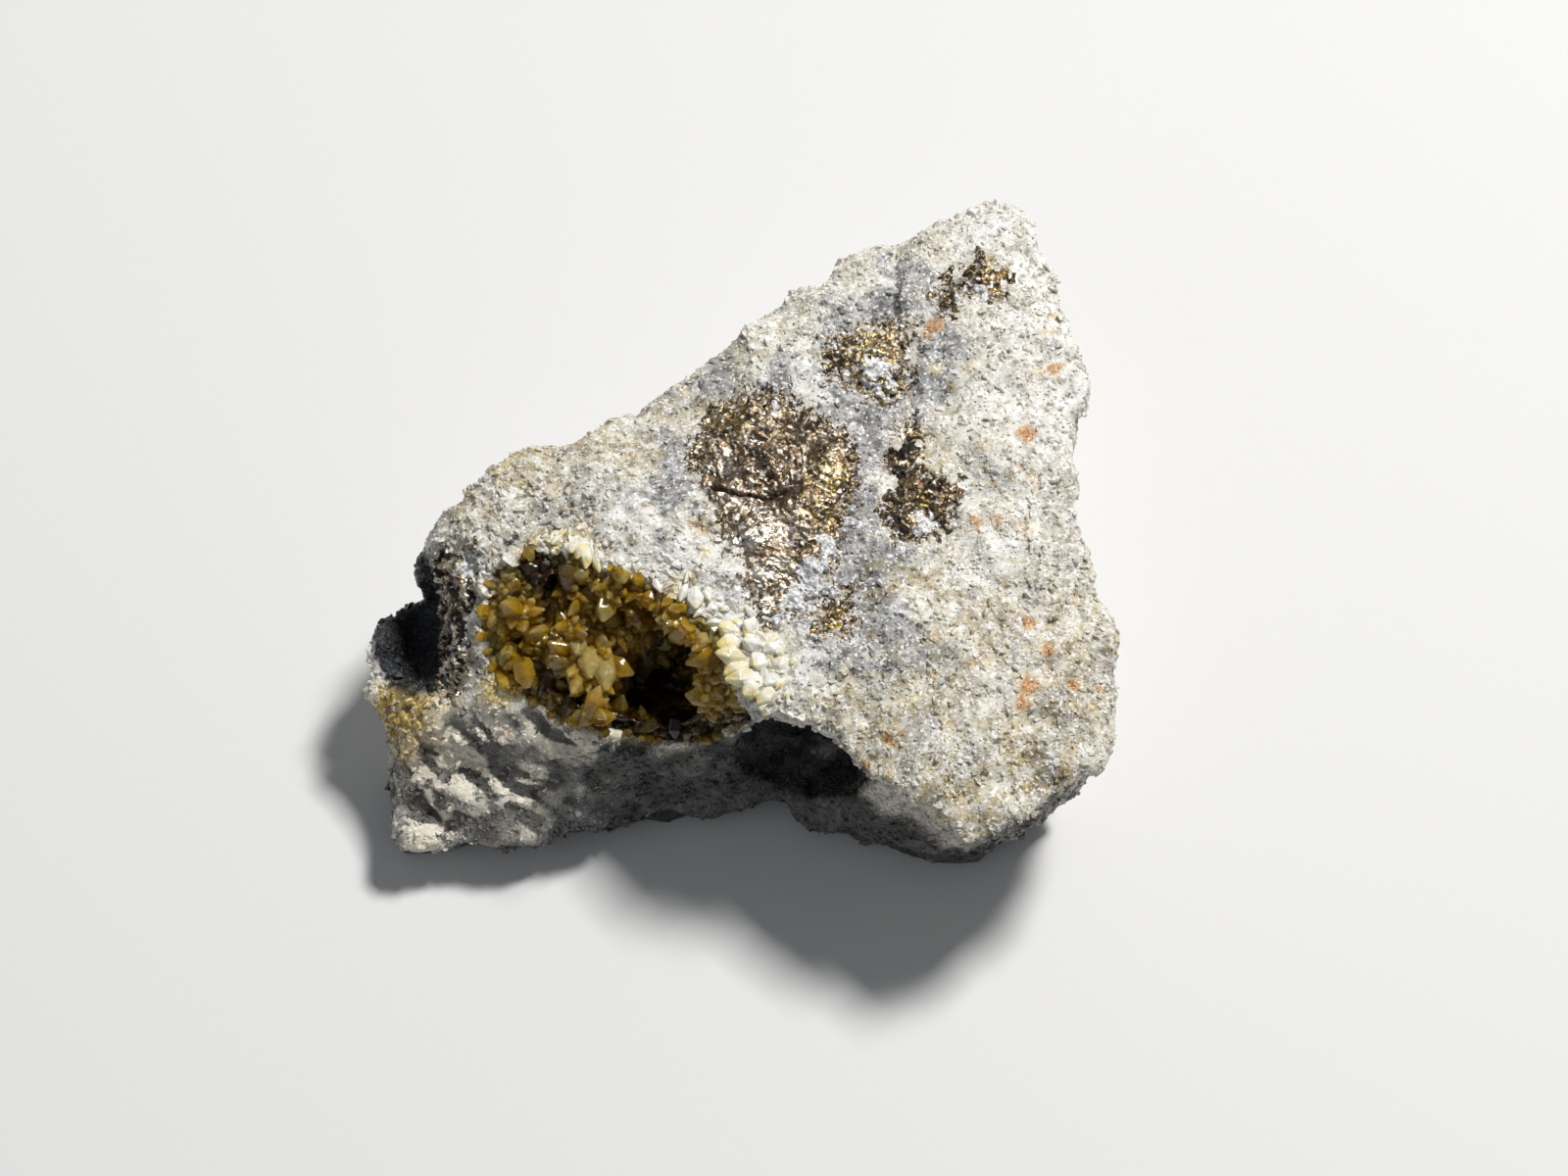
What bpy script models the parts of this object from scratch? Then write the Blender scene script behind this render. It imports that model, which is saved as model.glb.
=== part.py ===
"""Calaverite in quartz-bearing rock: a loose hand specimen that lies on its back.

The broken main face looks up, the crystal-lined hollow opens towards the front (-Y), and the
stone rests on a flat break underneath. Lengths are in millimetres until they reach a mesh.
"""

import math
import random

import bmesh
import bpy
from mathutils import Matrix, Vector, geometry, noise
from mathutils.bvhtree import BVHTree

MM = 0.001
GAP = 0.3  # clearance between pieces that touch

# Edge of the main face, clockwise seen from above, from the upper corner: x, y, height.
FACE_EDGE = [
    (13.8, 21.8, 15.3), (16.0, 22.2, 15.2), (18.0, 21.5, 15.0), (19.4, 18.4, 15.4),
    (20.8, 15.8, 15.6), (21.2, 12.4, 16.0), (22.2, 9.1, 15.6), (20.8, 5.6, 16.0),
    (21.1, 1.0, 16.2), (21.8, -2.3, 16.0), (22.8, -5.8, 15.5), (24.1, -9.8, 15.0),
    (23.1, -13.8, 14.8), (22.2, -17.0, 14.4), (20.6, -18.1, 14.6), (18.4, -20.3, 14.3),
    (15.3, -21.9, 14.0), (13.8, -21.9, 14.3), (11.4, -19.6, 14.9), (7.8, -18.4, 15.4),
    (6.0, -15.8, 16.0), (3.7, -14.1, 16.4), (1.1, -13.8, 16.4), (-0.6, -12.0, 16.4),
    (-2.8, -8.7, 17.0), (-5.4, -6.3, 17.2), (-8.8, -4.8, 17.2), (-12.6, -3.8, 16.6),
    (-16.0, -3.2, 15.6), (-19.2, -1.6, 14.4), (-19.4, 0.2, 14.4), (-16.4, 2.2, 15.3),
    (-14.0, 4.2, 15.8), (-10.8, 4.6, 16.0), (-8.5, 5.5, 16.2), (-5.7, 7.4, 16.0),
    (-2.9, 10.0, 15.6), (-0.6, 11.2, 16.0), (3.5, 14.8, 16.0), (6.6, 17.3, 15.8),
    (10.5, 19.3, 15.4), (12.6, 20.5, 15.4),
]
# Hills and hollows inside the main face: x, y, height.
FACE_SPOTS = [
    (16.4, 17.6, 16.3), (12.4, 16.6, 16.6), (17.6, 12.0, 17.0), (7.6, 13.2, 16.8),
    (12.0, 10.0, 16.9), (4.2, 10.6, 17.2), (17.4, 4.0, 17.3), (8.4, 6.4, 17.0),
    (1.2, 6.8, 17.0), (11.4, 1.6, 16.5), (4.6, 1.4, 17.7), (-1.2, 1.4, 17.4),
    (-6.0, 2.6, 17.3), (-11.4, 0.4, 16.9), (-5.8, -2.2, 17.9), (0.6, -4.0, 18.1),
    (6.6, -4.6, 17.3), (12.6, -4.2, 17.1), (18.4, -4.6, 16.7), (3.2, -9.6, 17.7),
    (9.6, -10.4, 17.1), (15.6, -11.2, 16.5), (20.0, -12.0, 15.9), (12.2, -16.2, 16.1),
    (16.6, -17.0, 15.5), (-15.6, -0.4, 15.9),
]
# Widest line of the flanks, the same way round. At the front left it is the ledge's crest.
WAIST = [
    (15.5, 19.6, 9.0), (19.8, 15.4, 8.6), (21.0, 8.8, 8.8), (20.6, 0.6, 8.4),
    (22.2, -8.6, 8.8), (22.6, -14.8, 9.0), (20.0, -17.2, 7.6), (15.8, -18.9, 6.6),
    (11.2, -16.8, 8.0), (7.2, -13.6, 8.6), (3.4, -11.4, 9.2), (0.4, -12.4, 9.4),
    (-2.4, -13.6, 9.2), (-6.6, -13.7, 9.3), (-9.7, -12.9, 10.5), (-12.2, -12.2, 11.1),
    (-14.4, -11.4, 11.2), (-16.6, -11.6, 10.2), (-19.0, -11.9, 8.8), (-21.4, -12.2, 7.4),
    (-22.8, -10.6, 7.0), (-24.3, -7.1, 8.4), (-23.1, -4.4, 10.0), (-20.4, -1.0, 12.2),
    (-16.4, 2.6, 9.4), (-9.8, 4.4, 8.6), (-3.2, 8.6, 8.4), (3.6, 13.6, 8.8),
    (10.2, 17.6, 9.0),
]
# Lower edge of the flanks. The ledge at the front left slopes down to it.
HEM = [
    (14.8, 17.2, 3.5), (18.9, 12.2, 3.5), (18.7, 1.0, 3.5), (20.7, -8.0, 3.5),
    (20.8, -14.8, 3.4), (17.2, -17.4, 3.2), (13.9, -18.9, 3.0), (10.8, -18.6, 3.0),
    (5.5, -17.4, 3.0), (2.7, -15.0, 3.0), (-1.0, -15.5, 3.0), (-4.4, -15.7, 3.0),
    (-8.4, -16.7, 3.2), (-11.7, -17.4, 3.4), (-14.8, -18.2, 3.6), (-18.0, -18.8, 3.8),
    (-22.3, -18.9, 3.6), (-22.8, -15.2, 3.8), (-22.6, -10.6, 3.6), (-22.6, -5.4, 3.6),
    (-18.2, -0.6, 3.6), (-11.2, 2.6, 3.6), (-4.0, 6.8, 3.6), (3.2, 12.0, 3.6),
    (9.6, 16.0, 3.6),
]
# Outline of the underside. The flat break takes off the lowest millimetre.
FOOT = [
    (13.8, 15.2, -1.0), (17.4, 9.4, -1.0), (17.0, 1.4, -1.0), (18.6, -7.4, -1.0),
    (18.8, -14.0, -1.0), (16.2, -17.2, -1.0), (13.4, -18.0, -1.0), (10.6, -17.2, -1.0),
    (5.4, -15.8, -1.0), (2.7, -13.8, -1.0), (-1.0, -14.2, -1.0), (-5.8, -14.8, -1.0),
    (-11.8, -15.9, -1.0), (-17.6, -17.0, -1.0), (-21.8, -17.2, -1.0), (-22.2, -13.2, -1.0),
    (-21.4, -7.6, -1.0), (-17.6, -2.8, -1.0), (-11.0, 0.8, -1.0), (-4.0, 5.4, -1.0),
    (3.0, 10.6, -1.0), (9.2, 14.4, -1.0),
]

# Rounded hollows broken out of the flanks: centre, half sizes.
FLANK_HOLLOWS = [
    ((4.6, -13.0, 8.6), (5.2, 3.2, 5.4)),
    ((-20.7, -5.7, 10.4), (2.3, 3.5, 4.9)),
]

# The crystal hollow is a lumpy ellipsoid that opens through the front edge of the main face.
VUG_CENTRE = Vector((-7.8, -8.6, 13.1))
VUG_ALONG = Vector((0.905, -0.425, 0.0))  # its long way, left to right
VUG_INWARD = Vector((0.28, 0.60, -0.75))  # from its mouth into the stone
VUG_HALF = Vector((8.8, 5.2, 7.4))  # half sizes: along, across the mouth, inward
VUG_FULLNESS = 2.5  # 2 is an ellipsoid, more fills out its corners
VUG_LUMPS = 0.11  # share of its size by which the wall swells and shrinks
CRUST_WALL = 0.9
# Lumps of grown-together crystals on the hollow's back wall: centre, half sizes.
CLUMPS = [
    ((-10.7, -6.8, 11.0), (3.3, 3.0, 3.0)),
    ((-6.2, -6.0, 10.8), (2.4, 2.1, 3.4)),
    ((-14.0, -5.6, 13.4), (1.4, 1.2, 1.3)),
]
# A space in the hollow that stays free of crystals: its low and high corners.
CLEAR_ROOM = ((-7.2, -14.0, 10.7), (-2.6, -8.5, 15.2))

# Surface relief of the stone: texture kind, size of a lump, height.
RELIEF = [
    ("CLOUDS", 7.0, 1.3),
    ("VORONOI", 3.4, -1.0),
    ("CLOUDS", 1.7, 0.9),
]
REMESH = 0.62
STONE_FACES = 4700

# Crystals scattered over the hollow's wall and lumps
CRYSTAL_TRIES = 1500
CRYSTAL_SPACING = 1.9
CRYSTAL_LENGTH = (1.2, 2.4)
CRYSTAL_WIDTH = (1.0, 1.9)
CRYSTAL_ROOT = 0.7  # how deep a crystal sits in the crust
TIP_SHARE = 0.45  # share of a crystal's length that is its pyramid
SEED = 11

# Large crystals that stand out: foot, direction, length, width.
KEY_CRYSTALS = [
    ((-11.2, -8.8, 12.8), (-0.2, -0.9, 0.0), 2.0, 1.7),
    ((-10.0, -9.0, 12.8), (-0.1, -0.9, -0.1), 2.3, 1.9),
    ((-8.8, -8.9, 12.7), (0.0, -0.9, -0.15), 2.8, 1.7),
    ((-8.7, -8.7, 11.2), (0.0, -0.9, -0.4), 3.4, 1.2),
    ((-7.3, -7.2, 11.4), (-0.5, -0.8, 0.2), 1.6, 1.5),
    ((-6.3, -7.4, 11.2), (0.0, -0.9, 0.1), 1.2, 1.5),
    ((-5.2, -7.0, 11.4), (0.6, -0.8, 0.2), 1.4, 1.5),
    ((-13.9, -6.2, 13.8), (0.3, -0.6, 0.7), 1.5, 1.6),
]
# Crystals on the hollow's rim: a place by which the wall is found, direction, length, width.
RIM_CRYSTALS = [
    ((-11.4, -4.0, 15.4), (0.0, -0.9, 0.3), 1.7, 1.3),
    ((-10.2, -4.2, 15.6), (-0.2, -0.9, 0.2), 1.6, 1.2),
    ((-9.0, -4.6, 15.6), (0.1, -0.9, 0.1), 2.1, 1.3),
    ((-3.6, -7.4, 15.2), (-0.4, -0.9, 0.3), 1.9, 1.3),
    ((-2.4, -8.2, 15.2), (-0.3, -0.9, 0.4), 1.7, 1.4),
    ((-0.9, -9.6, 15.0), (-0.9, -0.3, 0.2), 1.9, 1.8),
    ((-0.5, -10.6, 14.4), (-0.9, -0.4, 0.2), 2.0, 1.9),
    ((-0.2, -11.6, 13.6), (-0.9, -0.5, 0.1), 1.8, 1.6),
    ((-9.2, -12.5, 11.2), (-0.3, 0.3, 0.9), 1.6, 1.3),
    ((-1.9, -13.2, 11.0), (-0.3, 0.2, 0.9), 1.5, 1.3),
]

# Masses of calaverite: outline on the stone seen from above, depth, height above the stone.
CALAVERITE = {
    "calaverite_main": (
        [(-3.2, 3.6), (-1.9, 6.2), (0.2, 7.4), (2.7, 6.6), (4.9, 5.4), (7.0, 3.4), (6.9, 0.6),
         (6.0, -1.4), (5.6, -4.4), (3.9, -7.6), (1.2, -8.4), (0.6, -5.4), (-0.6, -3.2),
         (-1.6, -0.4), (-2.8, 1.4)],
        2.2, 0.25),
    "calaverite_upper": (
        [(5.8, 11.0), (8.0, 12.2), (10.6, 12.4), (10.8, 9.4), (9.8, 6.9), (7.6, 7.4), (5.8, 8.6)],
        1.6, 0.2),
    "calaverite_vein": (
        [(10.4, 5.4), (11.9, 4.4), (11.2, 2.2), (13.4, 0.4), (12.6, -1.6), (11.4, -2.6),
         (9.8, -2.7), (8.9, -0.5), (9.5, 2.8)],
        1.8, 0.15),
    "calaverite_top": (
        [(13.0, 15.8), (15.6, 16.8), (17.2, 15.6), (16.2, 14.0), (14.4, 14.4), (13.6, 13.0),
         (12.6, 13.8)],
        1.4, 0.2),
    "calaverite_lower": (
        [(5.2, -6.6), (6.5, -6.2), (7.0, -8.4), (6.3, -9.4), (5.2, -8.9)],
        1.3, 0.2),
    "calaverite_edge": (
        [(-18.8, -2.2), (-17.4, -2.4), (-16.8, -4.2), (-16.7, -7.0), (-16.8, -9.2), (-17.6, -10.4),
         (-19.0, -10.0), (-18.6, -7.4), (-18.9, -4.8)],
        1.5, 0.25),
}
MASS_CELL = 0.85  # spacing of the points over a mass
MASS_RELIEF = 0.3
# The open fissure across the main mass, seen from above, and the height of its bottom
FISSURE = [(-1.7, 0.5), (0.0, 0.35), (1.4, 0.1), (2.9, 0.05), (1.3, -0.35), (-0.1, -0.2)]
FISSURE_BOTTOM = 16.2

COLOURS = {
    "matrix": ((0.62, 0.59, 0.52), 0.85, 0.0),
    "quartz_crust": ((0.66, 0.48, 0.16), 0.25, 0.0),
    "calaverite": ((0.50, 0.39, 0.22), 0.35, 1.0),
}


def clear_scene():
    for obj in list(bpy.data.objects):
        bpy.data.objects.remove(obj)


def material(name):
    colour, roughness, metallic = COLOURS[name]
    made = bpy.data.materials.get(name) or bpy.data.materials.new(name)
    made.use_nodes = True
    shader = made.node_tree.nodes["Principled BSDF"]
    shader.inputs["Base Color"].default_value = (*colour, 1.0)
    shader.inputs["Roughness"].default_value = roughness
    shader.inputs["Metallic"].default_value = metallic
    return made


def new_object(name, bm, parent, slot=None):
    """An object in metres from a bmesh in millimetres. With no slot it is a hidden cutter."""
    bm.normal_update()
    bmesh.ops.recalc_face_normals(bm, faces=bm.faces)
    bm.transform(Matrix.Scale(MM, 4))
    mesh = bpy.data.meshes.new(name)
    bm.to_mesh(mesh)
    bm.free()
    obj = bpy.data.objects.new(name, mesh)
    bpy.context.scene.collection.objects.link(obj)
    obj.parent = parent
    if slot:
        mesh.materials.append(material(slot))
    else:
        obj.hide_render = True
        obj.display_type = "WIRE"
    return obj


def boolean(obj, operation, other):
    modifier = obj.modifiers.new(f"{operation.lower()} {other.name}", "BOOLEAN")
    modifier.operation = operation
    modifier.object = other
    return modifier


def stitch(bm, upper, lower):
    """Joins two closed rings of different counts with triangles, by the shorter diagonal."""
    start = min(range(len(lower)), key=lambda k: (lower[k].co - upper[0].co).length)
    lower = lower[start:] + lower[:start]
    i = j = 0
    while i < len(upper) or j < len(lower):
        a, b = upper[i % len(upper)], lower[j % len(lower)]
        next_a, next_b = upper[(i + 1) % len(upper)], lower[(j + 1) % len(lower)]
        step_up = i < len(upper) and (
            j >= len(lower) or (next_a.co - b.co).length < (next_b.co - a.co).length
        )
        if step_up:
            bm.faces.new((a, next_a, b))
            i += 1
        else:
            bm.faces.new((a, next_b, b))
            j += 1


def rough_stone():
    """The stone's main planes: face, flanks and foot, before any relief."""
    bm = bmesh.new()
    edge, waist, hem, foot = (
        [bm.verts.new(point) for point in ring] for ring in (FACE_EDGE, WAIST, HEM, FOOT)
    )
    stitch(bm, edge, waist)
    stitch(bm, waist, hem)
    stitch(bm, hem, foot)
    bm.faces.new(foot)
    points = FACE_EDGE + FACE_SPOTS
    rim = [(k, (k + 1) % len(FACE_EDGE)) for k in range(len(FACE_EDGE))]
    flat = [Vector(point[:2]) for point in points]
    triangles = geometry.delaunay_2d_cdt(flat, rim, [], 1, 1e-6)[2]
    spots = edge + [bm.verts.new(point) for point in FACE_SPOTS]
    for corners in triangles:
        bm.faces.new([spots[k] for k in corners])
    return bm


def add_relief(obj):
    """Lumps, ledges and pits over the whole stone, then a mesh of few faces."""
    remesh = obj.modifiers.new("even mesh", "REMESH")
    remesh.mode = "VOXEL"
    remesh.voxel_size = REMESH * MM
    for kind, size, height in RELIEF:
        texture = bpy.data.textures.new(f"{kind.lower()} {size}", kind)
        texture.noise_scale = size * MM
        displace = obj.modifiers.new(texture.name, "DISPLACE")
        displace.texture = texture
        displace.strength = height * MM
    decimate = obj.modifiers.new("few faces", "DECIMATE")
    decimate.ratio = STONE_FACES / len(evaluated_triangles(obj)[1])


def evaluated_triangles(obj):
    """Points in millimetres and triangles of the object with its modifiers."""
    bpy.context.view_layer.update()
    shown = obj.evaluated_get(bpy.context.evaluated_depsgraph_get())
    mesh = shown.to_mesh()
    mesh.calc_loop_triangles()
    points = [vertex.co / MM for vertex in mesh.vertices]
    triangles = [tuple(triangle.vertices) for triangle in mesh.loop_triangles]
    shown.to_mesh_clear()
    return points, triangles


def surface_of(obj):
    return BVHTree.FromPolygons(*evaluated_triangles(obj))


def box(low, high):
    bm = bmesh.new()
    size = Vector(high) - Vector(low)
    middle = (Vector(high) + Vector(low)) / 2
    bmesh.ops.create_cube(bm, size=1, matrix=Matrix.Translation(middle) @ Matrix.Diagonal((*size, 1)))
    return bm


def ellipsoid(centre, half, detail=3):
    bm = bmesh.new()
    place = Matrix.Translation(centre) @ Matrix.Diagonal((*half, 1))
    bmesh.ops.create_icosphere(bm, subdivisions=detail, radius=1, matrix=place)
    return bm


def vug_frame():
    along = VUG_ALONG.normalized()
    inward = (VUG_INWARD - VUG_INWARD.dot(along) * along).normalized()
    across = inward.cross(along)
    return Matrix((along, across, inward)).transposed()


def vug_point(direction, inset):
    """The point of the hollow's wall in a direction of its own frame, moved inwards by inset."""
    lumps = 1 + VUG_LUMPS * noise.noise(direction * 2.1 + Vector((3.1, 0.4, 7.7)))
    lumps /= fullness(direction)
    local = Vector([c * (half * lumps - inset) for c, half in zip(direction, VUG_HALF)])
    return VUG_CENTRE + vug_frame() @ local


def fullness(local):
    return sum(abs(c) ** VUG_FULLNESS for c in local) ** (1 / VUG_FULLNESS)


def vug_reach(spot):
    """How far a spot is from the hollow's middle, as a share of the way to its wall."""
    local = vug_frame().transposed() @ (spot - VUG_CENTRE)
    return fullness([part / half for part, half in zip(local, VUG_HALF)])


def on_wall(place):
    """The point of the crust's inner wall that is seen past a place from the hollow's middle."""
    local = vug_frame().transposed() @ (place - VUG_CENTRE)
    return vug_point(local.normalized(), GAP + CRUST_WALL)


def vug_ball(inset, detail=3):
    bm = bmesh.new()
    bmesh.ops.create_icosphere(bm, subdivisions=detail, radius=1)
    for vertex in bm.verts:
        vertex.co = vug_point(vertex.co.normalized(), inset)
    return bm


def add_crystal(bm, foot, direction, length, width, turn):
    """A six-sided quartz prism with a pyramid tip, its root sunk behind its foot."""
    turn_to = direction.to_track_quat("Z", "Y").to_matrix().to_4x4()
    place = Matrix.Translation(foot) @ turn_to @ Matrix.Rotation(turn, 4, "Z")
    shoulder = length * (1 - TIP_SHARE)
    rings = []
    for height, radius in ((-CRYSTAL_ROOT, 0.42 * width), (shoulder, 0.5 * width)):
        corners = [math.tau * k / 6 for k in range(6)]
        rings.append(
            [
                bm.verts.new(place @ Vector((radius * math.cos(a), radius * math.sin(a), height)))
                for a in corners
            ]
        )
    tip = bm.verts.new(place @ Vector((0.08 * width, 0.0, length)))
    bm.faces.new(rings[0][::-1])
    for k in range(6):
        after = (k + 1) % 6
        bm.faces.new((rings[0][k], rings[0][after], rings[1][after], rings[1][k]))
        bm.faces.new((rings[1][k], rings[1][after], tip))


def wall_spots(crust):
    """Random points on the hollow's inner wall and lumps, with their normals."""
    chance = random.Random(SEED)
    points, triangles = evaluated_triangles(crust)
    areas = [geometry.area_tri(*(points[k] for k in corners)) for corners in triangles]
    for corners in chance.choices(triangles, areas, k=CRYSTAL_TRIES):
        a, b, c = (points[k] for k in corners)
        u, v = sorted((chance.random(), chance.random()))
        spot = a * u + b * (v - u) + c * (1 - v)
        if vug_reach(spot) < 0.9:
            yield spot, (b - a).cross(c - a).normalized(), chance


def crystal_places(crust, stone):
    """Feet, directions and sizes of the scattered crystals, kept apart and off the stone."""
    feet = []
    for spot, normal, chance in wall_spots(crust):
        lean = Vector([chance.uniform(-1, 1) for _ in range(3)])
        pointing = (normal + 0.4 * lean - 0.3 * VUG_INWARD).normalized()
        size = chance.uniform(*CRYSTAL_LENGTH), chance.uniform(*CRYSTAL_WIDTH)
        turn = chance.uniform(0, math.tau)
        near, outwards, *_ = stone.find_nearest(spot)
        shallow = (spot - near).dot(outwards) > -0.6
        crowded = any((spot - other).length < CRYSTAL_SPACING for other in feet)
        tip = spot + pointing * size[0]
        if shallow or crowded or outside_hollow(tip, stone) or blocks_room(spot, tip):
            continue
        feet.append(spot)
        yield spot, pointing, *size, turn


def blocks_room(foot, tip):
    """True where a crystal would stand in the space that is kept clear."""
    margin = Vector((1, 1, 1)) * CRYSTAL_WIDTH[1] / 2
    low, high = Vector(CLEAR_ROOM[0]) - margin, Vector(CLEAR_ROOM[1]) + margin
    spots = (foot, (foot + tip) / 2, tip)
    return any(all(low[k] < spot[k] < high[k] for k in range(3)) for spot in spots)


def outside_hollow(tip, stone):
    """True where a crystal's tip would be in the stone around the hollow."""
    near, outwards, *_ = stone.find_nearest(tip)
    return vug_reach(tip) > 0.85 and (tip - near).dot(outwards) < 0.5


def quartz_crust(whole, stone, parent):
    """The hollow's lining: a bowl, its lumps and the crystals on them, all one solid."""
    crust = new_object("quartz_crust", vug_ball(GAP), parent, "quartz_crust")
    boolean(crust, "INTERSECT", whole)
    boolean(crust, "DIFFERENCE", new_object("room", vug_ball(GAP + CRUST_WALL, 2), parent))
    for k, (centre, half) in enumerate(CLUMPS):
        boolean(crust, "UNION", new_object(f"clump {k}", ellipsoid(centre, half, 2), parent))
    bm = bmesh.new()
    for place in crystal_places(crust, stone):
        add_crystal(bm, *place)
    for foot, direction, length, width in KEY_CRYSTALS:
        add_crystal(bm, Vector(foot), Vector(direction).normalized(), length, width, 0.3)
    for place, direction, length, width in RIM_CRYSTALS:
        foot = on_wall(Vector(place))
        add_crystal(bm, foot, Vector(direction).normalized(), length, width, 0.8)
    boolean(crust, "UNION", new_object("crystals", bm, parent)).use_self = True
    return crust


def grown(outline, by):
    """The outline moved outwards by a distance, corner by corner."""
    count = len(outline)
    points = [Vector(point) for point in outline]
    area = sum(points[k - 1].cross(points[k]) for k in range(count))
    side = 1 if area > 0 else -1
    moved = []
    for k in range(count):
        before = (points[k] - points[k - 1]).normalized()
        after = (points[(k + 1) % count] - points[k]).normalized()
        out = Vector((before.y + after.y, -before.x - after.x)).normalized() * side
        moved.append(points[k] + out * by)
    return moved


def drop(stone, x, y):
    """Height of the stone's surface at a place seen from above."""
    return stone.ray_cast(Vector((x, y, 60)), Vector((0, 0, -1)))[0].z


def mass_points(outline, cell):
    """The outline's corners and a staggered grid of points inside it."""
    corners = [Vector(point) for point in outline]
    low = [min(c[k] for c in corners) for k in range(2)]
    high = [max(c[k] for c in corners) for k in range(2)]
    inner = []
    margin = grown(outline, -0.45 * cell)
    row = 0
    y = low[1]
    while y < high[1]:
        x = low[0] + (row % 2) * cell / 2
        while x < high[0]:
            spot = Vector((x, y))
            if inside(margin, spot):
                inner.append(spot)
            x += cell
        y += cell * 0.87
        row += 1
    return corners, inner


def inside(outline, spot):
    crossings = 0
    for k, end in enumerate(outline):
        start = outline[k - 1]
        if (start.y > spot.y) != (end.y > spot.y):
            x = start.x + (spot.y - start.y) / (end.y - start.y) * (end.x - start.x)
            crossings += x > spot.x
    return crossings % 2 == 1


def calaverite_mass(name, stone, parent):
    """A metallic mass sunk in the stone, its rough top following the stone's surface."""
    outline, depth, proud = CALAVERITE[name]
    corners, inner = mass_points(outline, MASS_CELL)
    count = len(corners)
    rim = [(k, (k + 1) % count) for k in range(count)]
    spots, _, triangles, *_ = geometry.delaunay_2d_cdt(corners + inner, rim, [], 1, 1e-6)
    heights = [drop(stone, *spot) for spot in spots]
    floor = min(heights) - depth
    bm = bmesh.new()
    top = []
    for k, (spot, height) in enumerate(zip(spots, heights)):
        bump = MASS_RELIEF * noise.noise(Vector((*spot, 0.0)) * 0.9)
        rise = 0.0 if k < count else proud + bump
        top.append(bm.verts.new((*spot, height + rise)))
    bottom = [bm.verts.new((*spot, floor)) for spot in grown(outline, -0.12 * depth)]
    for corner in triangles:
        bm.faces.new([top[k] for k in corner])
    bm.faces.new(bottom)
    for k in range(count):
        after = (k + 1) % count
        bm.faces.new((top[k], top[after], bottom[after], bottom[k]))
    obj = new_object(name, bm, parent, "calaverite")
    return obj, floor


def prism(outline, low, high):
    bm = bmesh.new()
    rings = [[bm.verts.new((*spot, height)) for spot in outline] for height in (low, high)]
    for ring in rings:
        bm.faces.new(ring)
    for k, _ in enumerate(outline):
        bm.faces.new((rings[0][k - 1], rings[0][k], rings[1][k], rings[1][k - 1]))
    return bm


def socket(name, floor, parent):
    """The pocket that a mass sits in, with clearance all round."""
    outline, depth, _ = CALAVERITE[name]
    bm = bmesh.new()
    low = [bm.verts.new((*spot, floor - GAP)) for spot in grown(outline, GAP - 0.12 * depth)]
    high = [bm.verts.new((*spot, floor + 12)) for spot in grown(outline, GAP)]
    bm.faces.new(low)
    bm.faces.new(high)
    for k, _ in enumerate(low):
        bm.faces.new((low[k - 1], low[k], high[k], high[k - 1]))
    return new_object(f"socket {name}", bm, parent)


def centre_on_floor(parent, obj):
    """Moves the whole specimen so that the origin is under its middle, on the floor."""
    points = evaluated_triangles(obj)[0]
    for axis in range(2):
        values = [point[axis] for point in points]
        parent.location[axis] = -MM * (min(values) + max(values)) / 2


def main():
    clear_scene()
    specimen = bpy.data.objects.new("specimen", None)
    bpy.context.scene.collection.objects.link(specimen)

    matrix = new_object("matrix", rough_stone(), specimen, "matrix")
    for k, (centre, half) in enumerate(FLANK_HOLLOWS):
        hollow = new_object(f"flank hollow {k}", ellipsoid(centre, half), specimen)
        boolean(matrix, "DIFFERENCE", hollow)
    add_relief(matrix)
    floor = new_object("below the floor", box((-60, -60, -20), (60, 60, 0)), specimen)
    boolean(matrix, "DIFFERENCE", floor)
    surface = surface_of(matrix)

    whole = matrix.copy()
    whole.name = "uncut stone"
    whole.hide_render = True
    whole.display_type = "WIRE"
    bpy.context.scene.collection.objects.link(whole)

    vug = new_object("vug", vug_ball(0), specimen)
    boolean(matrix, "DIFFERENCE", vug)
    quartz_crust(whole, surface, specimen)
    for name in CALAVERITE:
        _, floor_height = calaverite_mass(name, surface, specimen)
        boolean(matrix, "DIFFERENCE", socket(name, floor_height, specimen))
    fissure = new_object("fissure", prism(FISSURE, FISSURE_BOTTOM, 25), specimen)
    boolean(bpy.data.objects["calaverite_main"], "DIFFERENCE", fissure)
    centre_on_floor(specimen, matrix)


main()
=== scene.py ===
"""Looks of the calaverite specimen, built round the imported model.

Lengths are millimetres unless a name ends in _M. Waves are layers of noise, each given by its
height, size and seed. A call of noise ends with its size and seed too. Spots are photo pixels,
a radius in mm and a strength.
"""

import math

import bmesh
import bpy
import numpy as np
from mathutils import Matrix, Vector
from mathutils.bvhtree import BVHTree


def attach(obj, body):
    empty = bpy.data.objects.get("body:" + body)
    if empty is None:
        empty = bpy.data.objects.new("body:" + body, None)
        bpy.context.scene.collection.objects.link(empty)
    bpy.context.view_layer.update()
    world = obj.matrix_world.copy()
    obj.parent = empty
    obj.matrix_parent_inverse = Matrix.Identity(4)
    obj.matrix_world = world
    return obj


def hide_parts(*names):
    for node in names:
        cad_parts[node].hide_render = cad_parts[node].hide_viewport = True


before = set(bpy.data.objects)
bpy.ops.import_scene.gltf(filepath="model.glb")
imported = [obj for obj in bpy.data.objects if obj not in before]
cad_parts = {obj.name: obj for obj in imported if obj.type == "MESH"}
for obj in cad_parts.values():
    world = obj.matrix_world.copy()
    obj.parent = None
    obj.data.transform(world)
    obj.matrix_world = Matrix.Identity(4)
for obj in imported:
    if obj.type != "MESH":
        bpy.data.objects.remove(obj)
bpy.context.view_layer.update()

MM = 0.001

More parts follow.
